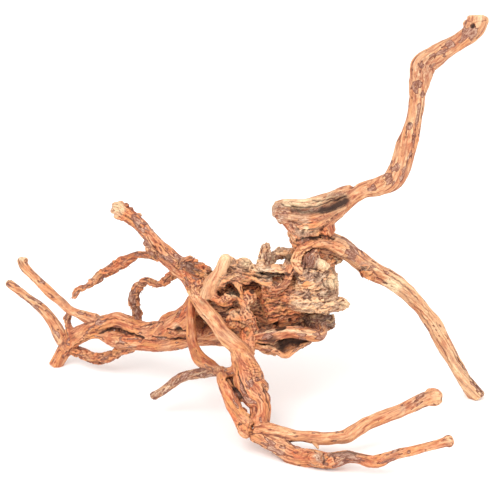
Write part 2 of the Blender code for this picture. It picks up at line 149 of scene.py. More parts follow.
# a Catmull-Rom curve through rows of x, y, z, radius, read off about every step
def smoothPath(rows, step):
    ends = np.vstack([2 * rows[0] - rows[1], rows, 2 * rows[-1] - rows[-2]])
    parts = []
    for before, start, end, after in zip(ends, ends[1:], ends[2:], ends[3:]):
        count = max(1, round(np.linalg.norm(end[:3] - start[:3]) / step))
        share = (np.arange(count) / count)[:, None]
        parts.append(0.5 * (
            2 * start
            + (end - before) * share
            + (2 * before - 5 * start + 4 * end - after) * share ** 2
            + (3 * start - before - 3 * end + after) * share ** 3
        ))
    return np.vstack([*parts, rows[-1:]])


strandShape = {
    "step": 1.6,  # between rings
    "sides": 30,
    "flutes": 2, "flute": 0.07,  # ribs that wind one way, and their height as a share of the radius
    "ribs": 3, "rib": 0.05, "ribTwist": 1.7,  # finer ones that wind the other way, and faster
    "twist": 95.0,  # length in which the flutes wind once round
    "phase": 2.4,  # from one strand to the next
    "dome": 0.8, "domeMost": 5.0,  # length of a rounded end, in radii, and its most in mm
    "tip": 0.02,  # share of the dome where its first ring lies
    "across": (0.0, 1.0, 0.3),  # a direction that no strand starts along
}


# the direction along the path and two unit vectors across it, carried along without spinning
def carriedFrames(centres):
    along = np.gradient(centres, axis=0)
    along /= np.linalg.norm(along, axis=1)[:, None]
    first = np.cross(along[0], strandShape["across"])
    firsts = []
    for direction in along:
        first = first - direction * (first @ direction)
        first = first / np.linalg.norm(first)
        firsts.append(first)
    return along, np.array(firsts), np.cross(along, firsts)


# the stations of one strand: centre, radius, run along it, and the frame there. An end that isn't cut is
# rounded: its radius shrinks as the square root of 1 - (1 - s)^2, s being the share of the dome passed
def strandPath(points, number, cut):
    points = np.array(points, float)
    spread = 1 + points[:, 2] / sheet["eye"]
    path = smoothPath(np.column_stack([toSpace(points), points[:, 3] * spread]), strandShape["step"])
    centre, full = path[:, :3], path[:, 3]
    along, first, second = carriedFrames(centre)
    run = np.concatenate([[0], np.cumsum(np.linalg.norm(np.diff(centre, axis=0), axis=1))])
    radius = full
    for end, fromEnd in (("start", run), ("end", run[-1] - run)):
        if end != cut:
            length = np.minimum(strandShape["dome"] * radius, strandShape["domeMost"])
            share = np.clip(fromEnd / length, strandShape["tip"], 1)
            radius = radius * np.sqrt(1 - (1 - share) ** 2)
    phase = strandShape["phase"] * number
    return {
        "centre": centre, "radius": radius, "full": full, "run": run, "along": along, "first": first,
        "second": second, "turn": 2 * math.pi / strandShape["twist"] * run + phase, "phase": phase,
    }


# the faces of rings of corners that follow one another: quads from ring to ring, and a fan at each end to
# its pole, the poles being the last two corners. Falling rings run down, and face the other way
def ringFaces(rings, sides, falling=False):
    ring, side = np.meshgrid(np.arange(rings - 1), np.arange(sides), indexing="ij")
    after = (side + 1) % sides
    low, high = ring * sides, (ring + 1) * sides
    quads = np.stack([low + side, low + after, high + after, high + side], -1).reshape(-1, 4)
    side, after = side[0], after[0]
    last = (rings - 1) * sides
    pole = np.full(sides, rings * sides)
    caps = np.vstack([
        np.column_stack([after, side, pole]),
        np.column_stack([last + side, last + after, pole + 1]),
    ])
    return (quads[:, [0, 3, 2, 1]], caps[:, [1, 0, 2]]) if falling else (quads, caps)


# a strand's skin: rings about the path whose radius is r (1 + flute sin(2a + t) + rib sin(3a - 1.7t)),
# a being the angle round the path and t the turn along it
def strandSkin(path):
    sides = strandShape["sides"]
    angle = np.linspace(0, 2 * math.pi, sides, endpoint=False)[None, :]
    turn = path["turn"][:, None]
    wave = strandShape["flute"] * np.sin(strandShape["flutes"] * angle + turn)
    ribAngle = strandShape["ribs"] * angle - strandShape["ribTwist"] * turn + path["phase"]
    wave = wave + strandShape["rib"] * np.sin(ribAngle)
    first, second = path["first"][:, None], path["second"][:, None]
    across = np.cos(angle)[..., None] * first + np.sin(angle)[..., None] * second
    rings = path["centre"][:, None] + (path["radius"][:, None] * (1 + wave))[..., None] * across
    corners = np.vstack([rings.reshape(-1, 3), path["centre"][:1], path["centre"][-1:]])
    return corners, *ringFaces(len(rings), sides)


# the matrix that turns rows of x, y, z about Y; a positive turn lowers the right end
def turnMatrix(degrees):
    sine, cosine = math.sin(math.radians(degrees)), math.cos(math.radians(degrees))
    return np.array([[cosine, 0, -sine], [0, 1, 0], [sine, 0, cosine]])


# an ellipsoid about a layout point: a unit sphere from its two angles, stretched and turned
def ellipsoid(place, halfLengths, turn, rows, sides):
    down = np.linspace(0, math.pi, rows + 2)[1:-1, None]
    angle = np.linspace(0, 2 * math.pi, sides, endpoint=False)[None, :]
    level = np.sin(down)
    unit = np.stack([level * np.cos(angle), level * np.sin(angle), np.cos(down) + 0 * angle], -1)
    unit = np.vstack([unit.reshape(-1, 3), [[0, 0, 1], [0, 0, -1]]]) * halfLengths
    return unit @ turnMatrix(turn) + toSpace([place])[0], *ringFaces(rows, sides, falling=True)


# puts corners, quads and triangles into a mesh in one go
def meshOf(name, corners, quads, triangles):
    mesh = bpy.data.meshes.new(name)
    mesh.vertices.add(len(corners))
    mesh.vertices.foreach_set("co", np.asarray(corners, np.float32).ravel())
    loops = np.concatenate([quads.ravel(), triangles.ravel()]).astype(np.int32)
    mesh.loops.add(len(loops))
    mesh.loops.foreach_set("vertex_index", loops)
    starts = np.concatenate([np.arange(len(quads)) * 4, len(quads) * 4 + np.arange(len(triangles)) * 3])
    mesh.polygons.add(len(starts))
    mesh.polygons.foreach_set("loop_start", starts.astype(np.int32))
    mesh.update(calc_edges=True)
    mesh.validate()
    return mesh


# a new object with this mesh or lamp or camera in it
def objectOf(name, content):
    made = bpy.data.objects.new(name, content)
    bpy.context.scene.collection.objects.link(made)
    return made


# several shapes as one: each one's faces count on from the corners before it
def joined(shapes):
    corners, quads, triangles = zip(*shapes)
    firsts = np.cumsum([0, *map(len, corners[:-1])])
    quads, triangles = (
        np.vstack([part + first for part, first in zip(faces, firsts)]) for faces in (quads, triangles)
    )
    return np.vstack(corners), quads, triangles


# one list of a mesh as rows of numbers
def meshRows(items, field, width, kind=np.float32):
    values = np.empty(len(items) * width, kind)
    items.foreach_get(field, values)
    return values.reshape(-1, width)


# writes values from 0 to 1, and the place in the wood's own coordinates, on every corner
def storeFields(mesh, fields, grain):
    for name, values in fields.items():
        layer = mesh.attributes.new(name, "FLOAT", "POINT")
        layer.data.foreach_set("value", np.clip(values, 0, 1).astype(np.float32))
    layer = mesh.attributes.new("grain", "FLOAT_VECTOR", "POINT")
    layer.data.foreach_set("vector", grain.astype(np.float32).ravel())


growing = {
    "knobGrid": (14, 22), "hollowGrid": (24, 36),  # rows and sides of an ellipsoid
    "smoothing": 0.5, "rounds": 4,  # how far each round moves a corner, and the rounds
    "phaseStep": 3,  # from one piece's seed to the next, in strands
    "apart": 400.0,  # from one strand to the next, in the wood's own coordinates
    "blend": 1.5,  # mm over which the tones of two strands run together
    "block": 8000,  # corners looked up at a time
    "grainTwist": 0.18,  # as a share of the flutes' turn
}


def addModifier(piece, kind, **options):
    modifier = piece.modifiers.new(kind, kind)
    for name, value in options.items():
        setattr(modifier, name, value)


# strands and knobs fused on a voxel grid, hollows cut out, and the whole healed on a finer grid
def fusedMesh(name, settings, paths):
    shapes = [strandSkin(path) for path in paths]
    for *place, radius in settings.get("knobs", []):
        shapes.append(ellipsoid(place, (radius, radius, radius), 0, *growing["knobGrid"]))
    rough = objectOf(name + "Rough", meshOf(name + "Rough", *joined(shapes)))
    addModifier(rough, "REMESH", mode="VOXEL", voxel_size=settings.get("fuse", settings["voxel"]))
    if "fuse" in settings:
        addModifier(rough, "SMOOTH", factor=growing["smoothing"], iterations=settings["melt"])
    helpers = [rough]
    for *place, halfLengths, turn in settings.get("hollows", []):
        shape = ellipsoid(place, halfLengths, turn, *growing["hollowGrid"])
        helpers.append(objectOf("hollow", meshOf("hollow", *shape)))
        addModifier(rough, "BOOLEAN", operation="DIFFERENCE", solver="MANIFOLD", object=helpers[-1])
    if "hollows" in settings:
        addModifier(rough, "REMESH", mode="VOXEL", voxel_size=settings["voxel"])
    addModifier(rough, "SMOOTH", factor=growing["smoothing"], iterations=growing["rounds"])
    mesh = bpy.data.meshes.new_from_object(rough.evaluated_get(bpy.context.evaluated_depsgraph_get()))
    for helper in helpers:
        bpy.data.objects.remove(helper)
    return mesh


# the mean of each corner's neighbours, along the mesh's edges
def neighbourMean(values, edges):
    one, other = edges.T
    count = len(values)
    share = np.bincount(one, minlength=count) + np.bincount(other, minlength=count)
    total = [
        np.bincount(one, part[other], count) + np.bincount(other, part[one], count) for part in values.T
    ]
    return np.stack(total, -1) / np.maximum(share, 1)[:, None]


# for each corner: its place in the straightened wood of the strand whose skin is nearest (run, and two
# offsets across, turned with the grain), the tones, blended as exp(-gap / blend), and that strand's radius
def woodCoordinates(corners, paths, strandTones):
    keys = ("centre", "full", "along", "first", "second", "turn")
    stations, radius, along, first, second, turn = (
        np.concatenate([path[key] for path in paths]) for key in keys
    )
    turn = turn * growing["grainTwist"]
    run = np.concatenate([path["run"] + growing["apart"] * number for number, path in enumerate(paths)])
    tone = np.repeat(strandTones, [len(path["run"]) for path in paths], axis=0)
    grain, tonesHere, thickness = [], [], []
    for start in range(0, len(corners), growing["block"]):
        some = corners[start:start + growing["block"]]
        square = (some ** 2).sum(1)[:, None] + (stations ** 2).sum(1)[None] - 2 * some @ stations.T
        gap = np.sqrt(np.maximum(square, 0)) - radius[None]
        nearest = gap.argmin(axis=1)
        offset = some - stations[nearest]
        onFirst = (offset * first[nearest]).sum(1)
        onSecond = (offset * second[nearest]).sum(1)
        cosine, sine = np.cos(turn[nearest]), np.sin(turn[nearest])
        grain.append(np.column_stack([
            run[nearest] + (offset * along[nearest]).sum(1),
            onFirst * cosine - onSecond * sine,
            onFirst * sine + onSecond * cosine,
        ]))
        weight = np.exp(-(gap - gap.min(axis=1)[:, None]) / growing["blend"])
        tonesHere.append(weight @ tone / weight.sum(axis=1)[:, None])
        thickness.append(radius[nearest])
    return np.vstack(grain), np.vstack(tonesHere), np.concatenate(thickness)


# the dark tone holds painted shade in hollows, holes, slits and pits, and also the darker wood of some
# strands and marks
toneNames = ("bark", "grey", "red", "shadeAndDark", "pale", "rough")
tones = {  # how much of each tone a strand has
    "limb": (0.40, 0.05, 0.20, 0, 0, 0.25),
    "branch": (0.16, 0.05, 0, 0, 0.24, 0.20),
    "clean": (-0.10, 0, 0.15, 0, 0.10, 0.15),
    "spotted": (0.06, 0.14, 0.26, 0.02, 0, 0.20),
    "fork": (0.14, 0, 0.32, 0, 0.04, 0.25),
    "trunk": (0.32, 0.05, 0.80, 0, 0, 0.50),
    "umber": (0.42, 0.10, 0.80, 0, 0, 0.55),
    "red": (0.10, 0, 1.00, 0.10, 0, 0.35),
    "bark": (0.42, 0.12, 0.95, 0.12, 0, 0.85),
    "greyTwig": (0.55, 0.85, 0.10, 0.10, 0, 0.60),
    "burl": (0.20, 0.50, 0.70, 0.06, 0.05, 1.00),
    "cream": (0.05, 0.80, 0.25, 0, 0.20, 1.00),
    "ragged": (0.10, 0.12, 1.00, 0.10, 0, 1.00),
    "shadeAndDark": (0.20, 1.00, 0, 0.30, 0, 0.90),
    "bowl": (0.10, 0.30, 0.20, 0, 0.10, 0.45),
    "cut": (-0.10, 0, 0.05, 0, 0.45, 0.20),
}

relief = {  # heights and sizes in mm
    "grains": {  # along the grain: height, size along and across it, layers, seed, share left on thin twigs
        "lump": (0.8, (18.0, 7.0, 7.0), 2, 0, 0.5),
        "fibre": (0.34, (26.0, 2.1, 2.1), 2, 3, 0.5),
        "rib": (0.75, (48.0, 4.6, 4.6), 1, 4, 0.25),
    },
    "fields": {  # noise in space: strength, size, seed
        "sway": (1.0, 20.0, 20), "warp": (1.0, 6.0, 30), "bend": (1.1, 5.0, 60), "arc": (2.4, 5.0, 0),
        "redDrift": (0.5, 24.0, 70), "paleDrift": (0.35, 17.0, 71), "barkDrift": (0.5, 26.0, 6),
        "pit": (1.0, 3.6, 12), "tread": (1.1, 10.0, 13), "fineTread": (0.3, 3.5, 14), "jut": (1.0, 7.0, 15),
    },
    "ramps": {  # where each starts and ends
        "facing": (0.0, 0.35), "hollow": (1.2, 1.03), "mark": (1.0, 0.35), "thick": (2.0, 9.0),
        "patch": (0.0, 0.12), "chip": (0.5, 0.95), "seam": (0.0, 0.22), "pit": (0.38, 0.62),
        "jut": (-0.7, 0.3),
    },
    "sway": 0.9, "middle": 0.5,  # of values from 0 to 1
    "arcPitch": 1.9, "arcAside": (0.7, 0.3),  # ripples round a point that many radii off the mark's middle
    "slitShade": 0.75, "slitShadeMost": 0.9, "slitPower": 1.4,
    "patch": 0.35, "patchThin": 0.4, "patchAlong": 12.0, "patchAcross": 2.0, "patchWiden": 0.26,
    "patchWarp": 0.25, "patchLevel": 0.70, "patchGain": 0.98, "patchLayers": 2, "patchSeed": 5,
    "torn": 1.0, "tornThin": 0.3, "tornSize": (10.5, 4.0, 4.0), "tornSharp": 1.9, "tornLow": 0.35,
    "tornPower": 1.6, "tornLayers": 3, "tornSeed": 9,
    "chip": 2.4, "crack": 0.30, "chipSize": (13.0, 10.0, 3.4), "chipWarp": 0.45, "chipSeed": 10,
    "layer": 2.4, "layerHeight": 4.2, "layerPower": 0.8,
    "pit": 1.5, "pitShade": 0.8,
    "closeRounds": 3, "wideRounds": 14,  # how far round a corner its surroundings reach
    # fine and crevice are heights in mm for the painted light and shade drawn from the relief
    "fine": 0.30, "creviceShade": 1.0, "creviceLeast": 0.05, "creviceRough": 0.12, "creviceWiden": 0.7,
}


# how far each place is from a line of straight legs
def lineDistance(places, line):
    line = np.array(line, float)
    away = np.full(len(places), np.inf)
    for start, end in zip(line, line[1:]):
        leg = end - start
        offset = places - start
        share = np.clip((offset @ leg) / (leg @ leg), 0, 1)
        away = np.minimum(away, np.linalg.norm(offset - share[:, None] * leg, axis=1))
    return away


# the hollows, round marks and lines of a piece's settings change the tones on the side that faces the eye.
# Hollows, holes and slits paint shade into the dark tone. A mark fades towards its radius, a line as
# exp(-(distance / width)^2); what they lift or sink is returned
def applyMarks(settings, corners, normals, mask, field):
    ramps = relief["ramps"]
    onSheet = toSheet(corners)
    facing = ramp(-(normals @ sightLine), *ramps["facing"])
    raised = np.zeros(len(corners))
    # painted shade inside each hollow
    for *place, halfLengths, turn in settings.get("hollows", []):
        local = (corners - toSpace([place])[0]) @ turnMatrix(turn).T / np.array(halfLengths)
        inside = ramp(np.linalg.norm(local, axis=1), *ramps["hollow"])
        mask["shadeAndDark"] = np.maximum(mask["shadeAndDark"], inside * settings["hollowShade"])
    for kind, marks in settings["marks"].items():
        for across, down, radius, amount in marks:
            away = np.hypot(onSheet[:, 0] - across, onSheet[:, 1] - down) / radius
            here = facing * ramp(away, *ramps["mark"])
            if kind == "arcs":
                left, below = (share * radius for share in relief["arcAside"])
                arc = np.hypot(onSheet[:, 0] - across + left, onSheet[:, 1] - down - below)
                raised = raised + here * amount * np.sin(arc * relief["arcPitch"] + field("arc"))
            elif kind in mask:
                mask[kind] = mask[kind] + here * amount
            else:
                raised = raised + here * amount
            # a hole is painted full shade
            if kind == "hole":
                mask["shadeAndDark"] = np.maximum(mask["shadeAndDark"], here)
    places = onSheet[:, :2] + np.column_stack([field("bend", step) for step in range(2)])
    for kind, lines in settings.get("lines", []):
        for width, amount, *line in lines:
            here = facing * np.exp(-(lineDistance(places, line) / width) ** 2)
            # a slit sinks the skin and is painted shade inside
            if kind == "slit":
                raised = raised - here * amount
                most = min(relief["slitShadeMost"], relief["slitShade"] * amount)
                mask["shadeAndDark"] = np.maximum(mask["shadeAndDark"], most * here ** relief["slitPower"])
            else:
                mask[kind] = mask[kind] + here * amount
    return raised


# the worked skin. Lumps, fibres and ribs run along the grain; bark patches are what stays a little low;
# torn ridges are 1 - 1.9 |noise|; chips are cells at chance heights with cracks between; layers rise as a
# sawtooth down the sheet, each jutting at its top. All is pushed along the normal, and a slow sway added
def workSkin(mesh, settings, paths):
    ramps, middle, seed = relief["ramps"], relief["middle"], settings["seed"]
    corners = meshRows(mesh.vertices, "co", 3).astype(float)
    normals = meshRows(mesh.vertex_normals, "vector", 3).astype(float)
    toneOf = {strand: tone for tone, strands in settings["tones"].items() for strand in strands}
    strandTones = [tones[toneOf.get(strand, settings["tone"])] for strand in settings["strands"]]
    grain, tone, thickness = woodCoordinates(corners, paths, strandTones)
    thick = ramp(thickness, *ramps["thick"])

    def field(name, step=0):
        strength, size, own = relief["fields"][name]
        return strength * noise(corners / size, seed + own + step)

    def onThick(share):
        return share + (1 - share) * thick

    mask = dict(zip(toneNames, tone.T))
    mask["layers"] = np.zeros(len(corners))
    pits = settings.get("pits", 0) * mask["rough"]
    raised = applyMarks(settings, corners, normals, mask, field)
    mask["red"] = mask["red"] + field("redDrift")
    mask["pale"] = mask["pale"] + field("paleDrift")
    bare = np.minimum(mask["bark"], 0)
    mask = {name: np.clip(value, 0, 1) for name, value in mask.items()}
    for height, size, layers, own, thin in relief["grains"].values():
        raised = raised + layeredNoise(grain / size, layers, seed + own) * height * onThick(thin)

    warp = np.column_stack([field("warp", step) for step in range(3)])
    patchWidth = relief["patchAcross"] + relief["patchWiden"] * thickness
    patchSize = np.column_stack([np.full(len(corners), relief["patchAlong"]), patchWidth, patchWidth])
    patch = grain / patchSize + relief["patchWarp"] * warp
    patch = layeredNoise(patch, relief["patchLayers"], seed + relief["patchSeed"]) + field("barkDrift")
    patch = patch - (relief["patchLevel"] - relief["patchGain"] * (mask["bark"] + bare))
    raised = raised - ramp(patch, *ramps["patch"]) * relief["patch"] * onThick(relief["patchThin"])

    torn = layeredNoise(grain / relief["tornSize"], relief["tornLayers"], seed + relief["tornSeed"])
    torn = np.clip(1 - relief["tornSharp"] * np.abs(torn), -1, 1) - relief["tornLow"]
    torn = torn * settings.get("roughness", relief["torn"]) * mask["rough"] ** relief["tornPower"]
    chips = ramp(mask["rough"], *ramps["chip"])
    chip, seam = cells(corners / relief["chipSize"] + relief["chipWarp"] * warp, seed + relief["chipSeed"])
    chip = chip - middle
    crack = 1 - ramp(seam, *ramps["seam"])
    raised = raised + torn * onThick(relief["tornThin"])
    raised = raised + chips * (chip * relief["chip"] - crack * relief["crack"])

    tread = toSheet(corners)[:, 1] / relief["layerHeight"] + field("tread") + field("fineTread")
    tread = (1 - (tread - np.floor(tread))) ** relief["layerPower"] - middle
    raised = raised + tread * relief["layer"] * mask["layers"] * ramp(field("jut"), *ramps["jut"])
    # pits sink the skin and are painted shade inside
    pit = ramp(field("pit"), *ramps["pit"]) * np.clip(pits, 0, 1)
    mask["shadeAndDark"] = np.maximum(mask["shadeAndDark"], relief["pitShade"] * pit)
    raised = raised - pit * relief["pit"]

    sway = np.column_stack([field("sway", step) for step in range(3)])
    sway = sway * settings.get("sway", relief["sway"])
    moved = corners + normals * raised[:, None] + sway
    moved[:, 2] = np.maximum(moved[:, 2], 0)
    mesh.vertices.foreach_set("co", (moved * metres).astype(np.float32).ravel())
    mesh.update()

    # fine, crevice and ridge: how far a corner lies below or above its close and its wider surroundings.
    # They are painted light and shade: lighter on small bumps and ridges, painted shade in small dips and
    # crevices
    edges = meshRows(mesh.edges, "vertices", 2, np.int32)
    wide = moved
    for turn in range(relief["wideRounds"]):
        wide = neighbourMean(wide, edges)
        if turn + 1 == relief["closeRounds"]:
            close = wide
    fine = ((moved - close) * normals).sum(axis=1)
    sunk = ((wide - moved) * normals).sum(axis=1)
    least = relief["creviceLeast"]
    creviceFrom = least + relief["creviceRough"] * mask["rough"]
    creviceTo = relief["creviceShade"] * (1 + relief["creviceWiden"] * mask["rough"])
    storeFields(mesh, {
        "patch": middle + middle * patch, "fine": middle + middle * fine / relief["fine"],
        "chip": middle + chip * chips,
        "creviceShade": ramp(sunk, creviceFrom, creviceTo), "ridgeLight": ramp(-sunk, least, relief["creviceShade"]),
        **{name: mask[name] for name in toneNames},
    }, grain)


# gives a worked mesh its wood and the body it rides on
def placePiece(name, mesh, material):
    mesh.materials.clear()
    mesh.materials.append(material)
    piece = objectOf(name, mesh)
    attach(piece, "root")
    print(f"{name} grown: {len(mesh.vertices)} corners, {len(mesh.polygons)} faces")
    return piece


# one piece of the root: its strands and knobs fused, hollowed and worked
def growPiece(name, settings, material):
    ends = settings.get("cut", {})
    paths = [
        strandPath(points, number + growing["phaseStep"] * settings["seed"], ends.get(strand))
        for number, (strand, points) in enumerate(settings["strands"].items())
    ]
    mesh = fusedMesh(name, settings, paths)
    workSkin(mesh, settings, paths)
    mesh.name = name
    mesh.shade_smooth()
    return placePiece(name, mesh, material)


wood = {
    "noises": {  # in the wood's own coordinates: scale along and across, detail, roughness, distortion
        "fibres": (0.03, 0.95, 4.0, 0.55, 0.0), "streaks": (0.016, 0.40, 3.0, 0.6, 0.0),
        "cloud": (0.05, 0.13, 3.0, 0.55, 0.0), "speck": (0.45, 1.3, 3.0, 0.65, 0.0),
        "mottle": (0.13, 0.36, 4.0, 0.6, 0.6), "figure": (0.014, 0.15, 2.0, 0.5, 0.3),
        "golden": (0.05, 0.17, 3.0, 0.6, 0.5), "stained": (0.035, 0.11, 4.0, 0.62, 0.8),
        "flecks": (0.12, 0.75, 2.0, 0.55, 0.0),
    },
    "sums": {  # weights
        # fine, ridge and crevice in the tone are painted light and shade from the relief
        "tone": {
            "fibres": 0.16, "streaks": 0.22, "mottle": 0.42, "fine": 0.22, "ridgeLight": 0.07, "creviceShade": -0.12,
            "chip": 0.14,
        },
        "redParts": {"cloud": 0.7, "chip": 0.3},
        "greyParts": {"mottle": 0.5, "chip": -0.5}, "greyTone": {"speck": 0.5, "mottle": 0.5},
        "barkParts": {"patch": 1.0, "speck": 0.10, "mottle": 0.10},
        "barkTone": {"speck": 0.4, "mottle": 0.6},
        "bump": {"fibres": 0.6, "speck": 0.4, "line": -0.25},
    },
    "edges": {  # where each S-curve starts and ends
        "red": (0.30, 0.58), "gold": (0.48, 0.60), "grey": (-0.14, 0.05), "pale": (0.25, 0.5),
        "stain": (0.50, 0.66), "line": (0.12, 0.42), "lineParts": (0.42, 0.58), "bark": (0.60, 0.65),
        "rimStart": (0.56, 0.61), "rimEnd": (0.63, 0.70), "rimParts": (0.36, 0.52), "fleck": (0.34, 0.40),
        "groove": (0.34, 0.44),
    },
    "ramps": {  # from low to high: where it is on the ramp, then red, green and blue
        "wood": [(0.45, 130, 74, 56), (0.53, 188, 119, 84), (0.60, 214, 158, 113), (0.70, 230, 192, 150)],
        "red": [(0.46, 112, 46, 28), (0.57, 182, 90, 52), (0.70, 222, 136, 88)],
        "grey": [(0.42, 78, 54, 46), (0.5, 150, 112, 92), (0.58, 218, 188, 162)],
        "pale": [(0.28, 206, 164, 122), (0.55, 238, 212, 172)],
        "bark": [(0.43, 102, 62, 52), (0.5, 146, 100, 84), (0.57, 186, 150, 130)],
    },
    # rim is painted shadow along the edge of bark patches, crevice is painted shade in crevices, and hollow
    # is painted shade in hollows, holes, slits and pits as well as the colour of darker wood
    "tints": {
        "gold": (226, 164, 100), "stain": (146, 76, 52), "deep": (130, 74, 56), "barkRimShade": (106, 56, 38),
        "fleck": (112, 60, 42), "creviceShade": (74, 36, 24), "hollow": (46, 25, 16),
    },
    "toneShift": 0.03,
    "gold": (0.35, 0.15), "stain": (0.3, 0.35),  # strength: what red adds, and what is there without it
    "lineLevels": 26.0, "lineRough": 1.15, "line": 0.45,
    "bark": 0.85, "groove": 0.5, "creviceShade": 0.75, "shadeAndDark": 0.95,
    "roughness": (0.48, 0.82), "bump": 0.55, "bumpDepth": 0.0006, "shine": 0.35,
}


screen = {"full": 255, "offset": 0.055, "power": 2.4}


# a colour given as a screen shows it, 0 to 255, in the linear values that shaders take
def tint(*colour):
    offset = screen["offset"]
    parts = ((part / screen["full"] + offset) / (1 + offset) for part in colour)
    return (*(part ** screen["power"] for part in parts), 1.0)


# the wood's one finish: a ramp of plain wood, whose tone carries painted light and shade from the relief,
# and over it, one after another, red and gold wood, grey and pale wood, stains, figure lines, bark with a
# painted shadow along its rim, flecks, grooves, painted shade in crevices, and the dark tone: painted shade
# in hollows, holes, slits and pits, with darker wood
def rootWood():
    material = bpy.data.materials.new("rootWood")
    material.use_nodes = True
    nodes, links = material.node_tree.nodes, material.node_tree.links
    shader = nodes["Principled BSDF"]

    def feed(socket, value):
        if isinstance(value, (float, tuple)):
            socket.default_value = value
        else:
            links.new(value, socket)

    def add(kind, inputs, **options):
        node = nodes.new("ShaderNode" + kind)
        for name, value in options.items():
            setattr(node, name, value)
        for name, value in inputs.items():
            feed(node.inputs[name], value)
        return node

    def attribute(name, output="Fac"):
        return add("Attribute", {}, attribute_name=name).outputs[output]

    def maths(operation, first, second, clamp=True):
        return add("Math", {0: first, 1: second}, operation=operation, use_clamp=clamp).outputs[0]

    def times(first, second):
        return maths("MULTIPLY", first, second)

    def without(value):
        return maths("SUBTRACT", 1.0, value)

    def grainNoise(along, across, *look):
        mapping = add("Mapping", {"Scale": (along, across, across), "Vector": grain})
        look = dict(zip(("Detail", "Roughness", "Distortion"), look))
        return add("TexNoise", {"Vector": mapping.outputs[0], "Scale": 1.0, **look}).outputs["Fac"]

    def edge(name, value):
        low, high = wood["edges"][name]
        inputs = {"From Min": low, "From Max": high, "Value": value}
        return add("MapRange", inputs, interpolation_type="SMOOTHSTEP").outputs[0]

    def ramped(name, value):
        node = add("ValToRGB", {"Fac": value})
        stops = node.color_ramp.elements
        first, *between, last = wood["ramps"][name]
        stops[0].position, stops[0].color = first[0], tint(*first[1:])
        stops[1].position, stops[1].color = last[0], tint(*last[1:])
        for position, *colour in between:
            stops.new(position).color = tint(*colour)
        return node.outputs["Color"]

    def added(name):
        weights = wood["sums"][name]
        total, *parts = [maths("MULTIPLY", signal[part], weights[part], False) for part in weights]
        for part in parts:
            total = maths("ADD", total, part, False)
        return total

    def withRed(name):
        more, least = wood[name]
        return maths("ADD", times(signal["red"], more), least)

    grain = attribute("grain", "Vector")
    signal = {name: grainNoise(*look) for name, look in wood["noises"].items()}
    for name in ("ridgeLight", "creviceShade", "fine", "chip", "patch", *toneNames):
        signal[name] = attribute(name)
    # the tone is grain noise plus painted light and shade from the relief
    tone = maths("SUBTRACT", added("tone"), wood["toneShift"], False)
    # the figure: thin wandering lines where a slow noise passes evenly spaced levels
    wave = maths("MULTIPLY", signal["figure"], wood["lineLevels"], False)
    wave = maths("PINGPONG", wave, 1.0, False)
    line = times(without(edge("line", wave)), edge("lineParts", signal["mottle"]))
    line = signal["line"] = times(line, maths("SUBTRACT", wood["lineRough"], signal["rough"]))
    bark = added("barkParts")
    # a band round each bark patch, painted as the shadow at its edge
    barkRimShade = times(edge("rimStart", bark), without(edge("rimEnd", bark)))
    tints = {name: tint(*colour) for name, colour in wood["tints"].items()}
    coats = [
        (times(signal["red"], edge("red", added("redParts"))), ramped("red", tone)),
        (times(edge("gold", signal["golden"]), withRed("gold")), tints["gold"]),
        (times(signal["grey"], edge("grey", added("greyParts"))), ramped("grey", added("greyTone"))),
        (times(signal["pale"], edge("pale", signal["cloud"])), ramped("pale", signal["speck"])),
        (times(edge("stain", signal["stained"]), withRed("stain")), tints["stain"]),
        (times(line, wood["line"]), tints["deep"]),
        (times(edge("bark", bark), wood["bark"]), ramped("bark", added("barkTone"))),
        (times(barkRimShade, edge("rimParts", signal["mottle"])), tints["barkRimShade"]),
        (times(without(edge("fleck", signal["flecks"])), signal["bark"]), tints["fleck"]),
        (times(without(edge("groove", signal["fibres"])), wood["groove"]), tints["deep"]),
        # the last two coats are painted shade: in crevices, and in hollows, holes, slits and pits, where the
        # dark tone also gives some strands darker wood
        (times(signal["creviceShade"], wood["creviceShade"]), tints["creviceShade"]),
        (times(signal["shadeAndDark"], wood["shadeAndDark"]), tints["hollow"]),
    ]
    base = ramped("wood", tone)
    under, over, result = 6, 7, 2  # a mix node's sockets for colour
    for share, colour in coats:
        base = add("Mix", {"Factor": share, under: base, over: colour}, data_type="RGBA").outputs[result]
    smoothest, roughest = wood["roughness"]
    roughness = add("MapRange", {"To Min": smoothest, "To Max": roughest, "Value": tone})
    bump = add("Bump", {"Strength": wood["bump"], "Distance": wood["bumpDepth"], "Height": added("bump")})
    feed(shader.inputs["Base Color"], base)
    feed(shader.inputs["Roughness"], roughness.outputs[0])
    feed(shader.inputs["Normal"], bump.outputs["Normal"])
    feed(shader.inputs["Specular IOR Level"], wood["shine"])
    return material


woodFinish = rootWood()
print("finish made")
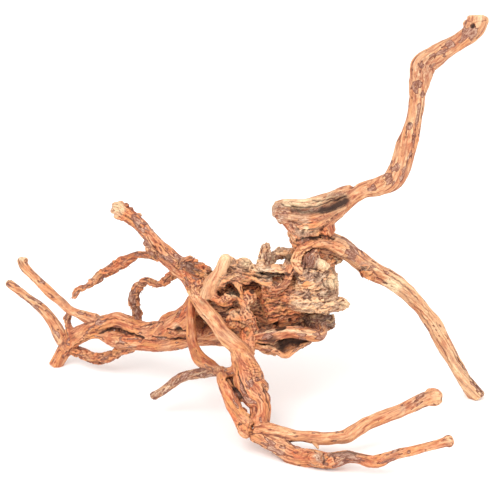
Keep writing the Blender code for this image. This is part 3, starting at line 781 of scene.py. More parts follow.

# the pieces. A strand is rows of (across, down, back, radius) on the sheet, and "cut" names the end that is
# flat. A knob is such a row. "voxel" is the grid they are healed on; "fuse" is a coarser one that joins them
# first, and "melt" its rounds of smoothing. Marks are (across, down, radius, amount), grouped by what they
# change; lines are (half-width, amount, then the places they pass), laid in this order. A negative amount
# takes away
# hollows, holes and slits paint shade into the colour; dark marks and lines add to the same dark tone, which
# holds painted shade and the darker wood of some strands


leftTrunk = {
    "seed": 1, "voxel": 0.85, "tone": "trunk",
    "cut": {"leftTrunk": "start"},
    "tones": {"limb": ["upperLeftTwig", "twigProng", "lowerLeftTwig"], "bark": ["leftLoop", "forkStub"]},
    "strands": {
        "leftTrunk": [(55.5, 366.3, 123, 6.2), (63, 352, 118, 6.8), (74, 338, 110, 8.6),
            (88, 330, 100, 8.8), (105, 323.5, 86, 9), (122, 321.5, 73, 9), (140, 330.5, 60, 8.8),
            (157, 331.5, 48, 10), (176, 326, 34, 13), (200, 317, 16, 18)],
        "leftUnderTrunk": [(88, 336, 94, 3.5), (100, 335, 85, 4.5), (118, 339.5, 72, 8.3),
            (138, 342.5, 60, 8), (160, 343.5, 48, 8), (182, 341.5, 36, 6.8), (205, 340.5, 26, 6),
            (228, 340, 18, 6.5), (252, 336, 8, 10)],
        "leftWeb": [(160, 322, 46, 5.5), (172, 318, 36, 6.8), (186, 313, 26, 8.6), (200, 303, 16, 13)],
        "leftFill": [(174, 334, 42, 7), (200, 333, 27, 9), (224, 331, 17, 10)],
        "forkStub": [(71, 335, 108, 6), (68.3, 325, 110, 4.2), (67, 318.5, 110, 3.8),
            (70, 312.5, 107, 3.2)],
        "upperLeftTwig": [(98, 322, 90, 7.5), (86, 317, 96, 5.6), (78, 313.4, 100, 4.4),
            (70, 309.4, 104, 4.6), (59, 300.3, 112, 4.8), (47, 289.6, 120, 4.5), (35, 278, 127, 4.2),
            (26.3, 269, 132, 4.6), (21.8, 262, 136, 5), (21.5, 256.8, 138, 4)],
        "twigProng": [(24, 263, 135, 3.6), (26.4, 257.3, 134, 2.6)],
        "lowerLeftTwig": [(66, 345, 114, 8), (59.5, 334, 119, 6.2), (53.5, 323, 125, 5.8),
            (46, 313, 131, 5.2), (36, 303.4, 137, 4.7), (24, 294.8, 143, 4.4), (13, 286.8, 149, 4.3),
            (6.5, 282, 152, 3.8)],
        "leftLoop": [(68, 346, 116, 6), (78, 351, 113, 5.2), (90, 357, 106, 5.3), (101, 358.5, 98, 5.4),
            (111, 355.5, 88, 5.4), (120, 350, 80, 5.2), (134, 345, 68, 5.5)],
    },
    "marks": {
        "arcs": [(119, 339, 10, 0.16)],
        "bark": [(99, 323, 5, 1.0), (125, 341, 16, 0.2), (168, 346, 9, -1.0)],
        "pale": [(22, 257, 6, 0.9), (176, 326, 5, 0.8)],
        "shadeAndDark": [(20.5, 264, 5, 0.3), (205, 322, 14, 0.45)],
        "hole": [(178, 330, 5, -2.5)],
        "red": [(195, 315, 22, 0.8)],
    },
    "lines": [
        ("slit", [
            (0.9, 2.4, (99, 333.5), (107, 330), (116, 329.3), (125.7, 331.5), (133.3, 334.7), (143, 338)),
            (1.1, 2.2, (168, 330), (176, 331.5), (185, 331.5)),
            (0.7, 1.0, (152, 337), (170, 338.5), (190, 338)),
            (0.6, 0.8, (140, 327), (152, 324), (163, 321)), (0.6, 0.8, (75, 345), (84, 340), (94, 336)),
            (0.6, 0.7, (104, 321), (114, 319), (124, 321))]),
    ],
}
growPiece("leftTrunk", leftTrunk, woodFinish)


upperLeft = {
    "seed": 2, "voxel": 0.75, "tone": "limb", "roughness": 1.6,
    "tones": {"umber": ["upperLeftLimb"], "bark": ["droopingTwig", "curledTwig", "limbCrown", "limbKnob"]},
    "knobs": [(116, 205, 57, 4), (120.5, 204.5, 57, 4), (126, 207, 54, 4), (114.5, 210.5, 58, 3.6),
        (118, 216, 60, 3.6), (122, 219, 59, 2.6), (131, 210, 51, 3.2), (139, 215.5, 45, 3),
        (152, 233, 39, 3), (147, 243, 42, 3.4), (196, 262, 8, 3), (201, 267, 4, 3.4), (187, 259, 14, 2.6),
        (172, 253, 26, 2.6), (118, 210, 53, 5)],
    "strands": {
        "upperLeftLimb": [(214, 294, 8, 15), (196, 280, 15, 12), (182, 269, 22, 10), (171, 260, 28, 8.6),
            (161.5, 250.2, 34, 7.8), (153.3, 240.2, 39, 6.9), (144.6, 230.4, 44, 6.6),
            (135, 220.6, 49, 7.2), (127, 214.5, 53, 7.8), (121, 210.5, 56, 8.6), (116, 209, 58, 7.4)],
        "limbNub": [(155, 254, 28, 5), (149, 249.5, 24, 4), (145.5, 247, 22, 3)],
        "limbKnob": [(182, 266, 16, 7), (189, 261.5, 11, 5.6), (195, 258.5, 9, 3.4)],
        "limbCrown": [(188, 266, 12, 7), (199, 272, 6, 6.5), (212, 275, 2, 9)],
        "droopingTwig": [(163, 258, 34, 5.5), (150, 254.8, 40, 3.4), (138, 255, 46, 3.2),
            (127, 260.3, 52, 5), (114, 267.6, 58, 5.8), (104, 273, 62, 5.2), (96, 279.8, 66, 5.4),
            (88, 285.8, 70, 3.4), (80, 289.6, 72, 3), (75.8, 294.5, 74, 2.9), (74, 300, 76, 2.6)],
        "curledTwig": [(183, 269, 26, 7), (173, 275.5, 32, 4.6), (164, 282, 38, 4), (156.5, 284.5, 42, 3.3),
            (150, 281.6, 46, 3.1), (144, 282, 50, 4.1), (137.5, 289.5, 56, 5), (134.2, 298.5, 60, 5.2),
            (136.3, 309, 64, 4.6), (137.4, 319, 66, 4.4), (138, 330, 62, 5.5)],
    },
    "marks": {
        "pale": [(117, 208, 12, 0.9), (211, 276, 9, 0.35)],
        "bark": [(117, 209, 13, -0.9), (184, 262, 14, 0.4), (150, 238, 14, 0.3), (146, 302, 32, 0.4),
            (152, 252, 9, 0.5)],
        "rough": [(120, 211, 13, 1.0), (193, 266, 17, 1.0), (210, 280, 18, 1.0)],
        "shadeAndDark": [(192, 270, 10, 0.35), (182, 264, 12, 0.14)],
    },
    "lines": [
        ("slit", [(0.7, 1.0, (126, 216), (133, 221), (141, 228)),
            (0.6, 0.8, (160, 244), (168, 253), (177, 261)), (0.7, 1.0, (186, 262), (192, 268), (200, 274)),
            (0.6, 0.8, (115, 207), (119, 210), (121, 215)),
            (0.6, 0.8, (148, 238), (156, 250), (166, 259), (178, 270))]),
        ("shadeAndDark", [(6.0, 0.16, (170, 277), (156, 284), (147, 281), (137, 290), (134, 299), (137, 322))]),
    ],
}
limbPiece = growPiece("upperLeftLimb", upperLeft, woodFinish)


lowerRoots = {
    "seed": 3, "voxel": 0.85, "tone": "limb",
    "tones": {"red": ["redRoot", "rootThorn"], "clean": ["frontRoot"], "ragged": ["burlFoot", "slitWeb"],
        "greyTwig": ["greyTwig"], "trunk": ["frontRootHead", "slitLeft", "slitRight", "rightLobe"],
        "fork": ["forkUpper"], "umber": ["forkLower"]},
    "knobs": [(245, 431, -72, 7), (251, 371, -56, 5), (243.5, 411.5, -58, 4), (434, 397.5, -51, 8.8),
        (430, 394, -52, 5), (448.5, 441.5, -132, 5.8), (261, 387, -54, 8), (262.6, 399, -58, 8),
        (316, 458.5, -93, 8.4), (297, 452, -83, 6), (334, 459, -96, 6)],
    "strands": {
        "redRoot": [(196, 294, 2, 7), (191.5, 306, -4, 5), (190.5, 318, -6, 5), (191, 332, -8, 5.2),
            (193.4, 346, -12, 4.8), (199.5, 358, -18, 6.2), (209, 364.7, -24, 5.8), (218, 370.5, -30, 5.6),
            (228, 375, -36, 6)],
        "frontRoot": [(197, 289, -3, 9), (200.5, 301, -12, 7.8), (210, 315, -22, 7.5),
            (220.5, 329, -30, 7.5), (231, 341, -36, 7.9), (241, 352, -40, 9.4), (245, 363, -42, 12)],
        "frontRootHead": [(184, 270, 19, 7), (192, 281, 9, 9), (198, 291, -3, 9.6), (202, 302, -12, 8.2)],
        "burlFoot": [(246, 316, -16, 9), (248, 332, -20, 8), (246.5, 345, -27, 7.6), (245, 357, -35, 8.5)],
        "footLink": [(221, 373, -35, 6), (232, 372, -39, 5.6), (243, 366, -42, 9)],
        "rootThorn": [(217, 372, -32, 4), (222.5, 367.5, -33, 2)],
        "slitLeft": [(222, 372, -36, 6.4), (223.6, 381, -41, 6.6), (228.3, 393, -48, 7.5),
            (233, 405, -55, 7.6), (239.5, 417, -61, 7.4), (251, 429, -66, 11.5)],
        "slitWeb": [(229, 378, -32, 6), (235, 388, -37, 5), (240, 396, -42, 4.6), (244, 401, -46, 3.8)],
        "slitInner": [(244, 384, -48, 8), (250, 396, -54, 6), (254.5, 407, -59, 5), (256, 418, -62, 6)],
        "slitRight": [(236, 347, -38, 8), (243, 361, -42, 12.3), (247.3, 374, -46, 14.2),
            (248, 386, -51, 13.2), (254.3, 396, -56, 11.6), (261.3, 405, -60, 9.6), (261.8, 414, -63, 8.6),
            (257, 427, -66, 12)],
        "rightLobe": [(250, 366, -42, 8), (255.5, 378, -44, 8.4), (252, 388, -48, 8)],
        "forkLump": [(243, 429, -69, 6), (248, 434, -70, 6.8)],
        "forkUpper": [(254, 429, -66, 12.5), (272, 432.5, -70, 9.6), (288, 435.4, -73, 6.8),
            (304, 436.3, -75, 5.6), (320, 438, -76, 6.4), (334, 438, -76, 6.7), (345, 437.4, -75, 7.2),
            (354, 431.5, -73, 7.4), (368.4, 423, -69, 7), (385.2, 416.2, -65, 6.4),
            (400.3, 410.8, -61, 6.5), (413, 404.5, -57, 7), (425.5, 399.2, -53, 7.8),
            (435, 398.3, -50, 8.4), (440, 398.5, -49, 8)],
        "forkThorn": [(312, 438, -77, 4), (316.5, 446.5, -79, 1.6), (318.5, 449.5, -80, 1.3)],
        "forkLower": [(254, 430, -66, 11.5), (269, 440.3, -71, 10), (284.8, 449.5, -77, 9.8),
            (299, 457.6, -82.5, 9.4), (313, 459, -88, 7.9), (326, 460.8, -93, 7.8), (337, 458.8, -98, 8),
            (347, 456.8, -104, 6.9), (359, 458.2, -107, 5.9), (371, 462, -110, 6.3), (380, 460.8, -112, 6),
            (389, 456.8, -114, 4.9), (401, 453.2, -118, 4.6), (418, 450, -123, 4.6),
            (434, 445.3, -128, 4.9), (446, 442.4, -132, 5.3), (451.5, 441.7, -133, 5)],
        "greyTwig": [(227, 372, -34, 6), (214, 371.6, -26, 5.4), (202, 372.6, -20, 5.6),
            (190, 374.8, -14, 5.2), (179, 378.8, -9, 4.8), (170, 385.2, -4, 4.2), (161.5, 391.8, 0, 4),
            (151, 397, 4, 4.2)],
    },
    "marks": {
        "rough": [(254, 371, 12, 0.35), (196, 287, 17, 0.65), (316, 458, 11, -0.4), (332, 458, 9, 0.25),
            (243, 426, 10, 0.5)],
        "red": [(190, 278, 15, 0.6), (258, 386, 10, 0.5), (240, 424, 14, 0.4), (280, 443, 22, -0.5),
            (236, 400, 22, 0.7)],
        "bark": [(192, 280, 13, 0.4), (316, 458, 10, -0.6), (246, 392, 26, 0.25), (350, 456, 22, 0.3)],
        # (346, 452) is painted shadow in the fold beside the knob
        "shadeAndDark": [(203, 302, 5, 0.35), (346, 452, 14, 0.2)],
        "pale": [(437, 398, 9, 0.3), (448, 441, 5, 0.5)],
        "grey": [(319, 457, 8, 0.9), (346, 455, 18, 0.7)],
        "arcs": [(250, 412, 8, 0.4)],
    },
    "lines": [
        ("slit", [(1.6, 3.2, (228, 379), (232, 385), (236, 391), (241, 399)),
            (0.8, 1.2, (238, 372), (241, 382), (246, 392)),
            (0.7, 0.8, (326, 450), (323, 455), (324.6, 459), (323.4, 464)),
            (0.7, 1.0, (290, 441), (304, 446), (316, 452)), (0.5, 0.5, (243, 363), (252, 367), (263, 365)),
            (0.5, 0.6, (244, 370), (253, 371.5), (264, 371)),
            (0.5, 0.5, (247, 376), (255, 377.5), (265, 375)),
            (0.8, 1.0, (262, 384), (266, 396), (270, 410))]),
        ("red", [(2.4, 0.9, (327, 452), (326.5, 464)),
            (6.0, 0.4, (191, 306), (191, 332), (199, 358), (226, 374))]),
        ("shadeAndDark", [(6.0, 0.1, (191, 306), (191, 332), (199, 358), (226, 374)),
            (3.0, 0.22, (226, 372), (214, 371), (200, 372)),
            # painted shadow in the fold beside the knob
            (1.8, 0.5, (330, 453), (346, 451), (366, 455.5))]),
        ("bark", [(2.4, 0.8, (206, 369), (190, 371.5), (178, 376)),
            (2.2, 1.2, (330, 453), (346, 451.5), (364, 456)),
            (3.6, 0.55, (403, 409), (413, 403.5), (423, 396))]),
        ("grey", [(3.6, 0.6, (403, 409), (413, 403.5), (423, 396))]),
    ],
}
growPiece("lowerRoots", lowerRoots, woodFinish)


# ellipsoids that hollow both pieces of the burl: a place on the sheet, half-lengths along X, Y and Z, and
# degrees turned about Y
burlHollows = [(293, 340.8, -14, (20, 26, 3.3), 0), (287.5, 344.2, -14, (11.5, 24, 4.6), 0),
    (268, 341.5, -24, (11, 12, 1.7), 3), (229, 287.5, -27, (5, 22, 3.8), -28),
    (235.5, 290, -27, (4.4, 20, 2.8), 24), (253.5, 286.5, -28, (4.4, 20, 4.4), 38),
    (214, 307, -22, (10, 20, 3.8), 38), (223, 314, -24, (5, 20, 4.4), -30),
    (233, 332, -30, (5, 18, 3.4), 40), (270, 275.5, -32, (14, 14, 2.2), 3),
    (280, 325, -30, (6.5, 12, 3.8), -8)]


burlBack = {
    "seed": 6, "voxel": 1.15, "fuse": 1.9, "melt": 1, "tone": "burl", "roughness": 1.6, "pits": 0.5,
    "sway": 1.5, "hollowShade": 0.97,
    "hollows": burlHollows,
    "tones": {"limb": ["backRope", "backFold"], "trunk": ["backCross"], "bark": ["backStub", "backSpur"]},
    "knobs": [(226, 290, 47, 11), (284, 322, 40, 13), (246, 270, 44, 8), (310, 276, 30, 11),
        (206, 316, 44, 9)],
    "strands": {
        "heart": [(200, 288, 18, 9), (212, 290, 22, 17), (232, 301, 25, 24), (258, 303, 26, 28),
            (285, 300, 24, 27), (308, 292, 20, 22), (322, 288, 16, 16), (331, 286, 12, 8)],
        "backUpper": [(205, 290, 30, 12), (235, 285, 48, 13), (265, 288, 54, 14), (295, 293, 48, 13),
            (318, 298, 30, 12)],
        "backLower": [(196, 318, 28, 12), (222, 322, 38, 12), (250, 327, 44, 12), (280, 322, 40, 12),
            (305, 315, 28, 12)],
        "backCrown": [(244, 274, 18, 10), (272, 280, 26, 11), (300, 272, 24, 11), (322, 264, 12, 13)],
        "backRope": [(198, 284, 30, 8), (214, 279, 46, 6.5), (236, 276, 58, 6), (260, 279, 66, 6.5),
            (284, 286, 65, 6), (306, 292, 52, 7), (320, 292, 36, 8)],
        "backCross": [(212, 326, 40, 7), (230, 316, 55, 6), (244, 302, 65, 5.5), (258, 288, 70, 5),
            (276, 277, 63, 5.5), (296, 268, 46, 7)],
        "backFold": [(204, 304, 38, 8), (224, 308, 54, 6), (248, 315, 60, 6), (274, 312, 61, 6.5),
            (296, 303, 56, 7), (312, 290, 44, 7)],
        "backStub": [(258, 300, 52, 10), (264, 306, 68, 7.5), (268, 309, 84, 6.5), (269, 310, 90, 5.5)],
        "backSpur": [(240, 320, 46, 8), (233, 328, 60, 6), (225, 333, 72, 5), (219, 335, 80, 3.6)],
        "backBud": [(292, 300, 54, 9), (299, 296, 66, 7), (303, 292, 73, 5.5)],
        "belly": [(252, 332, 4, 13), (272, 334, 8, 14), (292, 330, 9, 14), (308, 326, 8, 12)],
        "bellyFloor": [(256, 344, 2, 5), (272, 349, 6, 5.5), (286, 348, 8, 5.5), (298, 343, 6, 6),
            (308, 339, 2, 6)],
    },
    "marks": {
        # dark marks paint shade in the burl's hollows; the one at (293, 351) takes it away
        "shadeAndDark": [(292, 340, 24, 1.2), (293, 351, 11, -1.1), (231, 289, 15, 2.0), (254, 287, 13, 2.0),
            (216, 309, 18, 2.0), (271, 277, 18, 1.5), (234, 330, 14, 1.5)],
        "red": [(293, 351, 14, 0.8)],
    },
}
growPiece("burlBack", burlBack, woodFinish)


burl = {
    "seed": 4, "voxel": 0.89, "fuse": 1.9, "melt": 2, "tone": "burl", "roughness": 1.9, "pits": 0.45,
    "sway": 1.5, "hollowShade": 0.97,
    "hollows": burlHollows,
    "tones": {"cut": ["cutPeg"], "cream": ["pegBack", "creamKnob", "spike", "ringArch", "ringSide", "ledge",
        "knotBody", "knotFlake", "rightCheek", "cheekRidge", "cheekFill", "shelf"], "ragged": ["ledgeRoot",
        "coreFront", "cheek", "nose"], "burl": ["knotFace", "brow"], "shadeAndDark": ["darkStub"],
        "trunk": ["rimUpper", "rimLower"]},
    "knobs": [(229, 296.5, -28, 6.4), (251, 297, -31, 6.4), (238, 319, -29, 10.5), (300, 300, -24, 11),
        (262, 266.5, -24, 4.6), (263.4, 247.6, -13, 4), (268, 246.8, -13, 3.8)],
    "strands": {
        "core": [(200, 288, 16, 9), (212, 290, 18, 18), (232, 301, 20, 27), (258, 303, 20, 32),
            (285, 300, 18, 31), (308, 292, 14, 26), (322, 288, 11, 18), (331, 286, 8, 8)],
        "coreFront": [(262, 302, -5, 22), (284, 300, -6, 22), (304, 294, -6, 17)],
        "cutPeg": [(206, 300, -12, 9), (211, 288, -18, 7.4), (217, 275, -22, 6.4), (222, 264, -24, 6),
            (227.4, 253.4, -25, 5)],
        "pegBack": [(226, 259, -20, 4), (232, 266, -14, 6), (242, 270, -10, 8)],
        "crownLeft": [(222, 276, -8, 9), (238, 271, -8, 9), (254, 271, -6, 9)],
        "creamKnob": [(238, 265, -8, 6), (245, 263, -7, 5.4), (251, 262, -6, 4.6)],
        "spike": [(264, 268, -10, 9), (265.2, 259, -12, 6.8), (265.6, 251.5, -13, 5.2),
            (265.8, 246.6, -13, 5.4), (265.8, 243.6, -13, 5)],
        "ringArch": [(268, 268, -14, 4.2), (270.8, 262, -12, 4), (274, 256.2, -9, 4.4),
            (279.6, 253.2, -6, 5.6), (286.5, 253.2, -4, 6), (292, 255.5, -2, 5.4), (300, 262, 2, 7)],
        "ringSide": [(290.4, 256, -8, 5), (289, 264, -13, 5), (286, 270, -18, 5)],
        "ledge": [(251, 266, -17, 5), (258, 270.6, -22, 5.4), (266, 272.4, -26, 4.8), (275, 271, -27, 5.2),
            (283, 271.8, -26, 4.4), (290, 268, -23, 4.6), (294, 263, -20, 4.5)],
        "ledgeRoot": [(293, 266, -26, 4), (290, 274, -30, 4), (286, 282, -32, 4.4), (279, 288, -33, 4.6),
            (268, 292, -31, 4.6)],
        "brow": [(206, 286, -8, 8), (222, 282, -18, 7), (236, 278, -22, 6.5), (250, 278, -22, 5.5),
            (262, 281, -25, 5.5), (274, 285, -28, 5)],
        "cheek": [(204, 297, -12, 5), (214, 298, -19, 4.4), (224, 302, -25, 4.6), (232, 301, -27, 4)],
        "nose": [(236, 284, -22, 4.5), (240, 296, -31, 4), (246, 308, -33, 4.4), (251, 320, -30, 5),
            (252, 334, -20, 7)],
        "knotBody": [(308, 280, -8, 18), (315, 262, -15, 18.5)],
        "knotFlake": [(320, 268, -26, 6), (325, 259, -26, 6)],
        "knotFace": [(307, 267, -24, 8.5), (310, 257, -24, 9), (318, 252.5, -23, 8)],
        "knotBack": [(318, 270, -2, 12), (327, 263, 0, 10), (334, 260, 2, 7)],
        "rightCheek": [(296, 284, -21, 8), (309, 285, -23, 9), (321, 281, -17, 10.5), (330, 285, -11, 9),
            (329, 297, -12, 9)],
        "cheekFill": [(299, 293, -22, 8), (315, 293, -19, 9), (328, 292, -14, 8)],
        "cheekRidge": [(331, 268, -7, 5), (332.5, 278, -8, 5), (333, 291, -10, 5)],
        "shelf": [(288, 301, -26, 7), (304, 303, -28, 8.5), (320, 305, -25, 8.5), (333, 304.5, -19, 8.4),
            (340, 304, -16, 6.6), (346.5, 304, -13, 3.6), (353, 304.3, -10, 1.2)],
        "darkStub": [(308, 318, -4, 10), (320, 321, 0, 9.5), (329, 322, 4, 8.5), (334, 322, 6, 7.6)],
        "rimUpper": [(250, 341, -18, 6.5), (262, 338, -25, 6.6), (276, 334, -29, 6), (290, 332, -30, 6),
            (304, 333, -27, 6.5), (314, 336, -21, 6.5), (320, 334.5, -14, 6.2), (321, 328, -6, 7.6)],
        "rimLower": [(247, 342, -20, 6), (259, 345.2, -22, 5.6), (269.5, 347.6, -20, 4.6),
            (277, 352.6, -18, 3.6), (283.4, 356.6, -17, 2.9), (292, 351.6, -14, 3.1),
            (302, 345.6, -10, 3.2), (312, 338.4, -6, 4.6)],
    },
    "marks": {
        "grey": [(314, 262, 14, 0.5), (304, 268, 8, 0.8), (312, 287, 24, 0.5), (225, 285, 26, -0.4),
            (271, 268, 16, 0.8), (326, 322, 14, 0.6)],
        "red": [(309, 258, 9, 0.7), (232, 280, 32, 0.5), (306, 283, 6, 1.0), (214, 284, 16, 0.4),
            (276, 302, 24, 0.8), (282, 325, 26, 0.7), (290, 349, 16, 0.8), (322, 288, 12, 0.4)],
        "pale": [(324, 263, 8, 0.8), (309, 256, 12, -1.0), (334, 284, 9, 0.4), (346, 304, 9, 0.5),
            (246, 261, 7, 0.7), (231, 294, 7, 0.6), (233, 313, 9, 0.5)],
        # dark marks paint shade under the knot's rim, in the ring's hole, under the shelf and in the opening
        # between the rims; the one at (292, 351) takes it away from the lower lip
        "shadeAndDark": [(308, 258, 12, 0.22), (288.5, 258, 5, 0.8), (305, 321, 11, 0.25), (326, 322, 14, 0.25),
            (273, 341.5, 8, 0.8), (292, 351, 11, -0.55)],
        "bark": [(309, 256, 14, 1.5), (299, 270, 9, 1.0), (322, 296, 12, 0.6)],
        "rough": [(314, 262, 12, -0.4)],
        "knob": [(306, 283, 5, 1.2)],
        "arcs": [(252, 297, 9, 0.5), (237, 318, 14, 0.6), (280, 256, 10, 0.4)],
        "layers": [(277, 302, 25, 1.3), (310, 306, 20, 0.7), (258, 318, 14, 0.6), (230, 281, 16, 0.6)],
        "hole": [(262, 289, 3, -2), (276, 324, 5, -2.5), (290, 320, 3, -1.8)],
    },
    "lines": [
        ("slit", [(1.1, 2.0, (255, 276), (266, 277.5), (280, 276.5), (288, 273)),
            (0.9, 1.4, (287, 277), (291, 272), (294, 268)), (1.1, 2.0, (299, 293.5), (304, 292.5)),
            (1.1, 2.0, (315, 291.5), (321, 290.5)), (1.0, 1.8, (294.5, 278), (299, 276)),
            (0.9, 1.4, (301, 270), (300.5, 258), (305, 250.5), (315, 247.5), (326, 249.5), (334, 252)),
            (0.7, 1.2, (322, 279), (324, 286), (329, 290)),
            (0.7, 0.9, (329.5, 272), (327.5, 281), (330.5, 292)),
            (0.6, 0.8, (334.5, 272), (335, 282), (334, 294)),
            (0.6, 0.9, (240, 258), (246, 262), (254, 261)), (0.6, 0.9, (236, 266), (245, 267), (256, 265)),
            (0.9, 1.6, (259, 340.2), (268, 340.4), (279, 340)),
            (0.8, 1.2, (226, 274), (238, 272), (250, 276)), (0.7, 1.1, (222, 284), (232, 281), (244, 284)),
            (0.9, 1.6, (263, 305), (272, 303.5), (284, 306.5)),
            (1.1, 2.0, (266, 318.5), (280, 316.5), (300, 315), (322, 312)),
            (0.8, 1.4, (248, 308), (253, 314), (258, 321)), (0.9, 1.8, (224, 312), (232, 308), (240, 311)),
            (0.8, 1.4, (228, 322), (238, 321), (246, 325)), (0.8, 1.4, (296, 256), (306, 254), (314, 248)),
            (0.8, 1.2, (300, 270), (312, 268), (322, 271))]),
        ("pale", [(1.6, 0.8, (257, 333), (275, 330.5), (295, 331), (314, 335))]),
    ],
}
burlPiece = growPiece("burl", burl, woodFinish)


